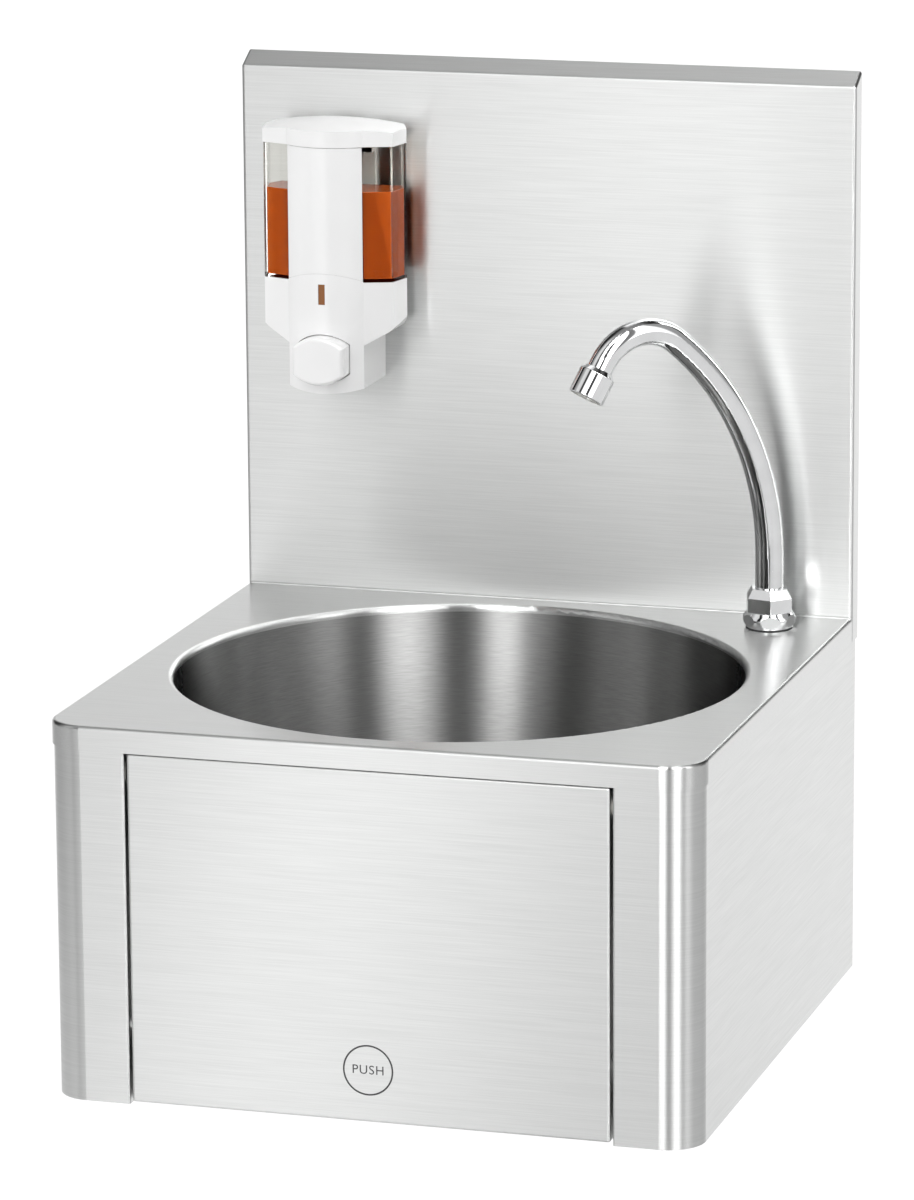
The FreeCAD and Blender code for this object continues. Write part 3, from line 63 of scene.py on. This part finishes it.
# ---- Studio: camera, room, floor, lamps ----------------------------------------------------
def add(tree, kind, **values):
    """New shader node. Names of sockets are given with _ for a space, other names are properties."""
    node = tree.nodes.new(kind)
    for name, value in values.items():
        socket = node.inputs.get(name.replace("_", " "))
        if socket is None:
            setattr(node, name, value)
        elif isinstance(value, bpy.types.NodeSocket):
            tree.links.new(value, socket)
        else:
            socket.default_value = value
    return node


def join(tree, source, node, socket):
    tree.links.new(source, node.inputs[socket])


def math_step(tree, operation, first, second):
    """One sum on numbers or sockets."""
    node = tree.nodes.new("ShaderNodeMath")
    node.operation = operation
    for slot, value in enumerate((first, second)):
        if isinstance(value, bpy.types.NodeSocket):
            tree.links.new(value, node.inputs[slot])
        else:
            node.inputs[slot].default_value = value
    return node.outputs[0]


def vector_step(tree, operation, first, second):
    node = tree.nodes.new("ShaderNodeVectorMath")
    node.operation = operation
    for slot, value in enumerate((first, second)):
        if isinstance(value, bpy.types.NodeSocket):
            tree.links.new(value, node.inputs[slot])
        else:
            node.inputs[slot].default_value = value
    return node.outputs[0]


def ramp(tree, factor, stops):
    """Grey ramp through (place, level) stops."""
    node = tree.nodes.new("ShaderNodeValToRGB")
    band = node.color_ramp
    band.interpolation = "EASE"
    while len(band.elements) < len(stops):
        band.elements.new(0.5)
    for element, (place, level) in zip(band.elements, stops):
        element.position = place
        element.color = (level, level, level, 1)
    tree.links.new(factor, node.inputs["Fac"])
    return node.outputs["Color"]


def mixed(tree, factor, first, second):
    """Blend of two colours, each a socket or a plain value."""
    node = tree.nodes.new("ShaderNodeMix")
    node.data_type = "RGBA"
    tree.links.new(factor, node.inputs[0])
    for slot, value in ((6, first), (7, second)):
        if isinstance(value, bpy.types.NodeSocket):
            tree.links.new(value, node.inputs[slot])
        else:
            node.inputs[slot].default_value = value
    return node.outputs[2]


def set_camera():
    """Camera at the photograph's place, solved on the corners of deck, backsplash and casings."""
    lens = bpy.data.cameras.new("photo_camera")
    lens.sensor_fit = "VERTICAL"
    lens.sensor_height = 36.0
    lens.lens = 185.81
    lens.clip_end = 100.0
    camera = bpy.data.objects.new("photo_camera", lens)
    camera.location = (1.05697, -3.71598, 1.02927)
    camera.rotation_euler = [math.radians(angle) for angle in (76.89293, 0.36804, 16.69959)]
    scene.collection.objects.link(camera)
    scene.camera = camera


# Brightness of the studio all round, by degrees from the camera's side, + to its right:
# on the floor near the object, on the far floor and along the horizon, and higher up, where there
# are bright panels beside the camera with dark gaps between them. Last, the soft light on what
# isn't metal.
NEAR_FLOOR = [(-180, 0.95), (-152, 0.95), (-138, 1.00), (-124, 1.15), (-64, 1.15), (-56, 1.00),
              (-39, 0.95), (-30, 0.92), (-26, 0.50), (-19, 0.50), (-14, 0.85), (-2, 0.80), (12, 0.75),
              (50, 0.75), (92, 0.75), (118, 0.75), (132, 0.80), (141, 1.30), (152, 1.35), (180, 0.95)]
FAR_FLOOR = [(-180, 0.95), (-152, 0.90), (-140, 0.50), (-126, 0.05), (-58, 0.05), (-50, 0.50),
             (-41, 1.08), (-30, 1.05), (-26, 0.30), (-22, 0.05), (1, 0.05), (8, 0.65), (50, 0.75),
             (92, 0.70), (118, 0.60), (132, 0.70), (141, 1.30), (152, 1.35), (180, 0.95)]
HIGH_WALLS = [(-180, 1.20), (-166, 1.10), (-156, 0.03), (-116, 0.02), (-98, 0.40), (-80, 0.80),
              (-62, 0.75), (-55, 0.02), (-46, 0.02), (-41, 0.80), (-35, 1.90), (-28, 2.20),
              (-22, 9.20), (-16, 8.50), (-11, 4.00), (-8, 0.15), (5, 0.03), (10, 2.60), (14, 5.20),
              (20, 8.00), (29, 8.00), (33, 3.50), (38, 0.20), (46, 0.25), (52, 2.80), (60, 2.90),
              (68, 1.40), (80, 0.35), (104, 0.35), (112, 0.02), (156, 0.03), (166, 1.10)]
SOFT_WALLS = [(-180, 0.55), (-90, 1.05), (-20, 1.05), (30, 1.05), (90, 0.90), (180, 0.50)]
CEILING = (0.25, 0.25, 0.25, 1)
HORIZON = [(0.04, 0.0), (0.14, 1.0)]     # steepness of a direction, where far floor turns into walls
OVERHEAD = [(0.85, 0.0), (1.0, 1.0)]     # and where the walls turn into the ceiling
NEAR_END = 3.7           # metres from the object, where the near floor starts to turn into the far floor
FAR_START = 4.3
FLOOR_GLOW = 1.12        # a little over white
FLOOR_GLOW_SHARE = 0.7   # share of plain glow in the floor that the camera sees, the rest keeps the shadow
MIRRORED_SHARE = 0.9     # share of the studio's tones in the floor that the metal mirrors


def level_round(tree, way, walls):
    """Brightness of the walls in the direction way."""
    turned = add(tree, "ShaderNodeMapping", Vector=way)
    turned.inputs["Rotation"].default_value = (0, 0, math.radians(-FRONT_WAY))
    split = add(tree, "ShaderNodeSeparateXYZ", Vector=turned.outputs[0])
    towards = math_step(tree, "MULTIPLY", split.outputs["Y"], -1)
    turn = math_step(tree, "ARCTAN2", split.outputs["X"], towards)
    place = math_step(tree, "ADD", math_step(tree, "DIVIDE", turn, 2 * math.pi), 0.5)
    return ramp(tree, place, [((degrees + 180) / 360, level) for degrees, level in walls])


def set_room():
    """White background for the camera, and round the object the panels of a product studio."""
    world = bpy.data.worlds.new("studio")
    scene.world = world
    world.use_nodes = True
    world.cycles.sampling_method = "NONE"
    tree = world.node_tree
    tree.nodes.clear()
    way = add(tree, "ShaderNodeTexCoord").outputs["Generated"]
    height = add(tree, "ShaderNodeSeparateXYZ", Vector=way).outputs["Z"]
    low, high, soft = [level_round(tree, way, walls) for walls in (FAR_FLOOR, HIGH_WALLS, SOFT_WALLS)]
    walls = mixed(tree, ramp(tree, height, HORIZON), low, high)
    room = mixed(tree, ramp(tree, height, OVERHEAD), walls, CEILING)
    rays = add(tree, "ShaderNodeLightPath")
    room = mixed(tree, rays.outputs["Is Diffuse Ray"], room, soft)
    lit = add(tree, "ShaderNodeBackground", Color=room, Strength=1.0)
    seen = add(tree, "ShaderNodeBackground", Color=(1, 1, 1, 1), Strength=1.0)
    mix = tree.nodes.new("ShaderNodeMixShader")
    join(tree, rays.outputs["Is Camera Ray"], mix, "Fac")
    join(tree, lit.outputs[0], mix, 1)
    join(tree, seen.outputs[0], mix, 2)
    output = tree.nodes.new("ShaderNodeOutputWorld")
    join(tree, mix.outputs[0], output, "Surface")


def pick(piece):
    """Only this piece is selected and active."""
    bpy.ops.object.select_all(action="DESELECT")
    piece.select_set(True)
    bpy.context.view_layer.objects.active = piece


def set_floor():
    """White floor with a shadow for the camera. In the metal it shows the tones of the studio."""
    bpy.ops.object.select_all(action="DESELECT")
    bpy.ops.mesh.primitive_plane_add(size=60, location=(0, 0, FLOOR_Z))
    floor = bpy.context.object
    floor.name = "floor"
    paint = bpy.data.materials.new("floor_paint")
    paint.use_nodes = True
    tree = paint.node_tree
    shader = tree.nodes["Principled BSDF"]
    shader.inputs["Base Color"].default_value = (1, 1, 1, 1)
    shader.inputs["Roughness"].default_value = 0.9
    rays = add(tree, "ShaderNodeLightPath")
    place = add(tree, "ShaderNodeTexCoord").outputs["Object"]
    mirrored = rays.outputs["Is Glossy Ray"]
    away = add(tree, "ShaderNodeVectorMath", Vector=place)
    away.operation = "LENGTH"
    reach = tree.nodes.new("ShaderNodeMapRange")
    join(tree, away.outputs["Value"], reach, "Value")
    reach.inputs["From Min"].default_value = NEAR_END
    reach.inputs["From Max"].default_value = FAR_START
    near, far = [level_round(tree, place, walls) for walls in (NEAR_FLOOR, FAR_FLOOR)]
    bands = mixed(tree, reach.outputs[0], near, far)
    tone = mixed(tree, mirrored, (FLOOR_GLOW, FLOOR_GLOW, FLOOR_GLOW, 1), bands)
    glow = add(tree, "ShaderNodeEmission", Color=tone, Strength=1.0)
    seen = math_step(tree, "MAXIMUM", rays.outputs["Is Camera Ray"], rays.outputs["Is Transmission Ray"])
    share = math_step(tree, "MAXIMUM", math_step(tree, "MULTIPLY", seen, FLOOR_GLOW_SHARE),
                      math_step(tree, "MULTIPLY", mirrored, MIRRORED_SHARE))
    mix = tree.nodes.new("ShaderNodeMixShader")
    join(tree, share, mix, "Fac")
    join(tree, shader.outputs[0], mix, 1)
    join(tree, glow.outputs[0], mix, 2)
    join(tree, mix.outputs[0], tree.nodes["Material Output"], "Surface")
    floor.data.materials.append(paint)


def softbox(name, place, aim, width, height, power, tilt=0.0, mirrored=True):
    """Rectangular lamp that faces the point aim. Fill lamps aren't mirrored in the metal."""
    lamp = bpy.data.lights.new(name, "AREA")
    lamp.shape = "RECTANGLE"
    lamp.size = width
    lamp.size_y = height
    lamp.energy = power
    stand = bpy.data.objects.new(name, lamp)
    stand.location = place
    facing = (Vector(aim) - Vector(place)).to_track_quat("-Z", "Y")
    stand.rotation_euler = (facing @ Quaternion((0, 0, 1), math.radians(tilt))).to_euler()
    stand.visible_camera = False
    stand.visible_glossy = mirrored
    scene.collection.objects.link(stand)


# ---- Finishes ------------------------------------------------------------------------------
def finish(name, color, metallic, roughness, **sockets):
    """Principled material. Returns it with its tree and shader."""
    material = bpy.data.materials.new(name)
    material.use_nodes = True
    tree = material.node_tree
    shader = tree.nodes["Principled BSDF"]
    shader.inputs["Base Color"].default_value = (*color, 1)
    shader.inputs["Metallic"].default_value = metallic
    shader.inputs["Roughness"].default_value = roughness
    for socket, value in sockets.items():
        shader.inputs[socket.replace("_", " ")].default_value = value
    return material, tree, shader


def noise(tree, vector, scale, detail=2.0):
    return add(tree, "ShaderNodeTexNoise", Vector=vector, Scale=scale, Detail=detail).outputs["Fac"]


def spread(tree, factor, low, high):
    """Turns a noise of about 0.3 to 0.7 into the range low to high."""
    node = tree.nodes.new("ShaderNodeMapRange")
    join(tree, factor, node, "Value")
    for socket, value in (("From Min", 0.3), ("From Max", 0.7), ("To Min", low), ("To Max", high)):
        node.inputs[socket].default_value = value
    return node.outputs[0]


def blend_colors(tree, factor, first, second):
    return mixed(tree, factor, (*first, 1), (*second, 1))


def weighted(tree, first, share, second):
    """Sum of share of the first number and the rest of the second."""
    return math_step(tree, "ADD", math_step(tree, "MULTIPLY", first, share),
                     math_step(tree, "MULTIPLY", second, round(1 - share, 4)))


def object_place(tree):
    return add(tree, "ShaderNodeTexCoord").outputs["Object"]


def bump(tree, shader, height, distance, strength):
    node = add(tree, "ShaderNodeBump", Distance=distance, Strength=strength)
    join(tree, height, node, "Height")
    join(tree, node.outputs[0], shader, "Normal")


def brushed_steel(name, stretch, dark, light, rough, anisotropy=0.8, lay="straight"):
    """Stainless sheet with fine brush marks that run level round the object, or round the bowl.

    stretch is the number of marks per metre along X, Y and Z, or along, out and up in the bowl."""
    # With the round lay (the bowl) the glancing brightness is almost nothing: painted shade for the dark
    # ends of the bowl.
    edge = 0.05 if lay == "round" else 0.9      # brightness at a glancing view
    level_lean = 0.05                           # gives level faces a direction of the marks too
    material, tree, shader = finish(name, light, 1.0, sum(rough) / 2, Anisotropic=anisotropy,
                                    Specular_Tint=(edge, edge, edge, 1))
    place = object_place(tree)
    normal = add(tree, "ShaderNodeNewGeometry").outputs["Normal"]
    if lay == "straight":
        split = add(tree, "ShaderNodeSeparateXYZ", Vector=normal)
        towards_x = math_step(tree, "SUBTRACT", split.outputs["Y"], level_lean)
        along = add(tree, "ShaderNodeCombineXYZ", X=towards_x,
                    Y=math_step(tree, "MULTIPLY", split.outputs["X"], -1)).outputs[0]
        marks = vector_step(tree, "MULTIPLY", place, stretch)
    else:
        arm = vector_step(tree, "SUBTRACT", place, BOWL_CENTRE)
        along = vector_step(tree, "CROSS_PRODUCT", (0, 0, 1), arm)
        split = add(tree, "ShaderNodeSeparateXYZ", Vector=arm)
        turn = math_step(tree, "ARCTAN2", split.outputs["X"], split.outputs["Y"])
        flat = vector_step(tree, "MULTIPLY", arm, (1, 1, 0))
        reach = tree.nodes.new("ShaderNodeVectorMath")
        reach.operation = "LENGTH"
        join(tree, flat, reach, 0)
        curl = add(tree, "ShaderNodeCombineXYZ", X=math_step(tree, "MULTIPLY", turn, BOWL_ARC_R),
                   Y=reach.outputs["Value"], Z=split.outputs["Z"]).outputs[0]
        marks = vector_step(tree, "MULTIPLY", curl, stretch)
    across = vector_step(tree, "NORMALIZE", vector_step(tree, "CROSS_PRODUCT", normal, along), (0, 0, 0))
    join(tree, across, shader, "Tangent")
    fine = noise(tree, marks, 1.0, 3.0)
    broad = noise(tree, vector_step(tree, "MULTIPLY", marks, (0.5, 0.09, 0.09)), 1.0, 2.0)
    wipes = noise(tree, place, 7.0, 2.0)
    tone = weighted(tree, fine, 0.92, broad)
    join(tree, blend_colors(tree, spread(tree, tone, 0.0, 1.0), dark, light), shader, "Base Color")
    grain = weighted(tree, tone, 0.8, wipes)
    join(tree, spread(tree, grain, rough[1], rough[0]), shader, "Roughness")
    bump(tree, shader, fine, 0.00001, 0.12)
    return material


def polished(name, color, rough, scale=60.0):
    """Bright plated or machined metal with faint polishing haze."""
    material, tree, shader = finish(name, color, 1.0, sum(rough) / 2)
    haze = noise(tree, object_place(tree), scale, 3.0)
    join(tree, spread(tree, haze, *rough), shader, "Roughness")
    dull = [channel * 0.93 for channel in color]
    join(tree, blend_colors(tree, spread(tree, haze, 0.0, 1.0), color, dull), shader, "Base Color")
    return material


def machined(name, color, rough, stain):
    """Turned or drawn metal: fine lathe lines, darker stains where it has been handled."""
    material, tree, shader = finish(name, color, 1.0, sum(rough) / 2)
    place = object_place(tree)
    lines = noise(tree, vector_step(tree, "MULTIPLY", place, (900, 900, 900)), 1.0, 2.0)
    patches = noise(tree, place, 45.0, 4.0)
    join(tree, blend_colors(tree, spread(tree, patches, 0.0, 1.0), color, stain), shader, "Base Color")
    join(tree, spread(tree, weighted(tree, lines, 0.5, patches), *rough), shader, "Roughness")
    bump(tree, shader, lines, 0.00003, 0.2)
    return material


def moulded(name, color, rough, texture=0.15, **sockets):
    """Moulded plastic or rubber: even colour, very slight mottling, fine surface ripple."""
    material, tree, shader = finish(name, color, 0.0, sum(rough) / 2, **sockets)
    place = object_place(tree)
    cloud = noise(tree, place, 25.0, 2.0)
    skin = noise(tree, place, 900.0, 2.0)
    shade = [channel * 0.97 for channel in color]
    join(tree, blend_colors(tree, spread(tree, cloud, 0.0, 1.0), color, shade), shader, "Base Color")
    join(tree, spread(tree, cloud, *rough), shader, "Roughness")
    bump(tree, shader, skin, 0.00003, texture)
    return material


def let_light_through(tree, shader, tint):
    """Lamps shine through the piece, tinted, so it throws no hard dark shadow."""
    glass = add(tree, "ShaderNodeBsdfTransparent", Color=(*tint, 1))
    rays = add(tree, "ShaderNodeLightPath")
    mix = tree.nodes.new("ShaderNodeMixShader")
    join(tree, rays.outputs["Is Shadow Ray"], mix, "Fac")
    join(tree, shader.outputs[0], mix, 1)
    join(tree, glass.outputs[0], mix, 2)
    join(tree, mix.outputs[0], tree.nodes["Material Output"], "Surface")


def clear_moulding(name, color, ior, rough, ripple, through, tint):
    """Clear or tinted plastic or liquid, with slight flow ripples."""
    material, tree, shader = finish(name, color, 0.0, rough[0], Transmission_Weight=through, IOR=ior)
    place = object_place(tree)
    haze = noise(tree, place, 40.0, 3.0)
    join(tree, spread(tree, haze, *rough), shader, "Roughness")
    bump(tree, shader, noise(tree, place, 90.0, 1.0), 0.0001, ripple)
    let_light_through(tree, shader, tint)
    return material


scene.view_settings.view_transform = "Standard"
set_camera()
set_room()
set_floor()
softbox("left_fill", (-2.3, -2.3, 1.8), (0, -0.2, 0.1), 1.4, 1.8, 7.0, mirrored=False)
softbox("top_fill", (0.3, -1.0, 2.2), (0, -0.2, 0.0), 1.4, 1.4, 4.2, mirrored=False)
softbox("front_strip", (-0.49, -2.0, -0.1), (-0.10, -0.35, 0.1), 0.18, 1.9, 0.75, tilt=-16)

SHEET_DARK = (0.61, 0.615, 0.61)
SHEET_LIGHT = (0.67, 0.675, 0.67)
SHEET_ROUGH = (0.28, 0.32)
sheet_steel = brushed_steel("brushed_sheet", (22, 1500, 1500), SHEET_DARK, SHEET_LIGHT, SHEET_ROUGH, 0.95)
casing_steel = brushed_steel("brushed_casing", (22, 22, 1500), SHEET_DARK, SHEET_LIGHT, SHEET_ROUGH, 0.95)
# The bowl is the same steel as the sheet, but its base colour is about half as bright: painted shade for
# the dark inside of the bowl. The waste strainer uses it too.
bowl_steel_painted_shade = brushed_steel("brushed_bowl_painted_shade", (90, 2600, 2200), (0.27, 0.27, 0.267), (0.35, 0.35, 0.347),
                           (0.32, 0.34), 0.98, "round")
inner_steel = machined("mill_finish_steel", (0.66, 0.66, 0.65), (0.30, 0.45), (0.58, 0.58, 0.56))
chrome = polished("chrome_plate", (0.90, 0.905, 0.91), (0.03, 0.06))
zinc = machined("zinc_plate", (0.72, 0.73, 0.74), (0.25, 0.40), (0.60, 0.61, 0.60))
brass = machined("yellow_brass", (0.78, 0.60, 0.30), (0.22, 0.38), (0.62, 0.45, 0.22))
copper = machined("copper_tube", (0.80, 0.46, 0.32), (0.22, 0.38), (0.60, 0.33, 0.24))
rubber = moulded("black_rubber", (0.022, 0.022, 0.023), (0.55, 0.70), 0.5)
nylon = moulded("natural_nylon", (0.80, 0.79, 0.74), (0.38, 0.50), 0.3)
waste_white = moulded("white_waste_plastic", (0.82, 0.82, 0.80), (0.38, 0.48), 0.3)
white = moulded("white_gloss_plastic", (0.90, 0.90, 0.90), (0.16, 0.22), 0.08, Coat_Weight=0.3)
clear = clear_moulding("clear_plastic", (0.97, 0.965, 0.94), 1.10, (0.01, 0.03), 0.15, 1.0,
                       (0.94, 0.945, 0.93))
amber = clear_moulding("amber_plastic", (0.36, 0.13, 0.03), 1.49, (0.08, 0.14), 0.1, 0.3,
                       (0.6, 0.25, 0.05))
soap = clear_moulding("orange_soap", (0.60, 0.112, 0.013), 1.38, (0.02, 0.05), 0.05, 0.35,
                      (0.75, 0.25, 0.04))
ink = moulded("grey_print", (0.05, 0.05, 0.052), (0.45, 0.55), 0.2)

BY_SLOT = {"stainless": inner_steel, "plated_steel": zinc, "chrome": chrome, "brass": brass,
           "copper_pipe": copper, "rubber": rubber, "nylon": nylon, "waste_plastic": waste_white,
           "white_plastic": white, "clear_plastic": clear, "amber_plastic": amber, "soap": soap}
BY_NODE = {"basin_deck": sheet_steel, "backsplash": sheet_steel, "knee_panel": sheet_steel,
           "side_casing_left": casing_steel, "side_casing_right": casing_steel,
           "basin_bowl": bowl_steel_painted_shade, "waste_strainer": bowl_steel_painted_shade}


def set_finish(piece, material):
    piece.data.materials.clear()
    piece.data.materials.append(material)


for name, node in nodes.items():
    slot = node.data.materials[0].name.split(".")[0]
    set_finish(node, BY_NODE.get(name) or BY_SLOT[slot])


# ---- Pieces that the CAD model leaves to the looks -----------------------------------------
def edit(piece):
    pick(piece)
    bpy.ops.object.mode_set(mode="EDIT")
    bpy.ops.mesh.select_all(action="SELECT")


def done():
    bpy.ops.object.mode_set(mode="OBJECT")


def settle(piece, name, body, material):
    """Puts the piece's place into its mesh, names it and lets it ride on its body."""
    pick(piece)
    bpy.ops.object.transform_apply(location=True, rotation=True, scale=True)
    piece.name = name
    piece.data.name = name
    set_finish(piece, material)
    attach(piece, body)


def with_rounded_edges(node, body, material, width=0.0006, angle=32.0):
    """Stands for a moulded or cast node: the same shape with its edges broken and its flats flat."""
    piece = bpy.data.objects.new(node + "_moulding", nodes[node].data.copy())
    scene.collection.objects.link(piece)
    edit(piece)
    bpy.ops.mesh.remove_doubles(threshold=0.000002)
    bpy.ops.mesh.dissolve_limited(angle_limit=math.radians(0.4), delimit=set())
    done()
    if piece.data.has_custom_normals:
        bpy.ops.mesh.customdata_custom_splitnormals_clear()
    soften = piece.modifiers.new("soften", "BEVEL")
    soften.limit_method = "ANGLE"
    soften.angle_limit = math.radians(angle)
    soften.width = width
    soften.segments = 3
    bpy.ops.object.modifier_apply(modifier=soften.name)
    bpy.ops.object.shade_smooth_by_angle(angle=math.radians(25))
    even = piece.modifiers.new("even", "WEIGHTED_NORMAL")
    even.keep_sharp = True
    bpy.ops.object.modifier_apply(modifier=even.name)
    settle(piece, piece.name, body, material)
    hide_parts(node)


def springy(node):
    """Stands for a return spring: a copy of the node in zinc plate, with a mesh of its own."""
    coil = bpy.data.objects.new(node + "_coil", nodes[node].data.copy())
    scene.collection.objects.link(coil)
    settle(coil, coil.name, "sink", zinc)
    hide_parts(node)
    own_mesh(coil)


def weld_seam():
    """Ground weld between deck and backsplash: a low bead with a slight ripple."""
    bpy.ops.object.select_all(action="DESELECT")
    bpy.ops.mesh.primitive_cylinder_add(vertices=12, radius=SEAM_R, depth=SEAM_LENGTH,
                                        location=(0, SEAM_Y, SEAM_Z), rotation=(0, math.pi / 2, 0),
                                        end_fill_type="TRIFAN")
    bead = bpy.context.object
    bpy.ops.object.transform_apply(location=True, rotation=True, scale=True)
    edit(bead)
    bpy.ops.mesh.select_all(action="DESELECT")
    done()
    for edge in bead.data.edges:
        ends = [bead.data.vertices[v].co.x for v in edge.vertices]
        edge.select = abs(ends[0] - ends[1]) > SEAM_LENGTH / 2
    bpy.ops.object.mode_set(mode="EDIT")
    bpy.ops.mesh.subdivide(number_cuts=180)
    done()
    draw = random.Random(4)
    steps = {}
    for vertex in bead.data.vertices:
        key = round(vertex.co.x * SEAM_RINGS)
        if key not in steps:
            steps[key] = 0.86 + 0.14 * draw.random()
        vertex.co.y = SEAM_Y + (vertex.co.y - SEAM_Y) * steps[key]
        vertex.co.z = SEAM_Z + (vertex.co.z - SEAM_Z) * steps[key]
    bpy.ops.object.shade_smooth_by_angle(angle=math.radians(40))
    settle(bead, "weld_seam", "sink", sheet_steel)


def push_mark():
    """Printed ring with one plain word where the knee pushes."""
    bpy.ops.object.select_all(action="DESELECT")
    bpy.ops.mesh.primitive_torus_add(major_segments=96, minor_segments=8, major_radius=RING_R,
                                     minor_radius=RING_LINE, location=(0, 0, 0))
    ring = bpy.context.object
    edit(ring)
    bpy.ops.transform.resize(value=(1, 1, 0.10))
    bpy.ops.transform.rotate(value=math.radians(90), orient_axis="X", center_override=(0, 0, 0))
    bpy.ops.transform.translate(value=(0, PANEL_FACE_Y - 0.00006, PUSH_Z))
    done()
    bpy.ops.object.shade_smooth()
    settle(ring, "push_ring", "knee_panel_assembly", ink)
    bpy.ops.object.select_all(action="DESELECT")
    bpy.ops.object.text_add(location=(0, PANEL_FACE_Y - 0.00002, PUSH_Z), rotation=(math.pi / 2, 0, 0))
    word = bpy.context.object
    word.data.body = "PUSH"
    word.data.align_x = "CENTER"
    word.data.align_y = "CENTER"
    word.data.size = LETTER_SIZE
    word.data.space_character = 1.12
    word.data.extrude = 0.00004
    bpy.ops.object.convert(target="MESH")
    settle(bpy.context.object, "push_word", "knee_panel_assembly", ink)


for node in ("dispenser_housing", "dispenser_front", "dispenser_cover"):
    with_rounded_edges(node, "sink", white)
with_rounded_edges("tap_base", "sink", chrome, 0.0005, 12.0)
with_rounded_edges("tap_body", "sink", chrome, 0.0004, 20.0)
with_rounded_edges("dispenser_reservoir", "sink", clear, 0.0005)
with_rounded_edges("soap_liquid", "sink", soap, 0.0004)
with_rounded_edges("dispenser_window", "sink", amber, 0.0003)
springy("dispenser_spring")
springy("valve_spring")
weld_seam()
push_mark()
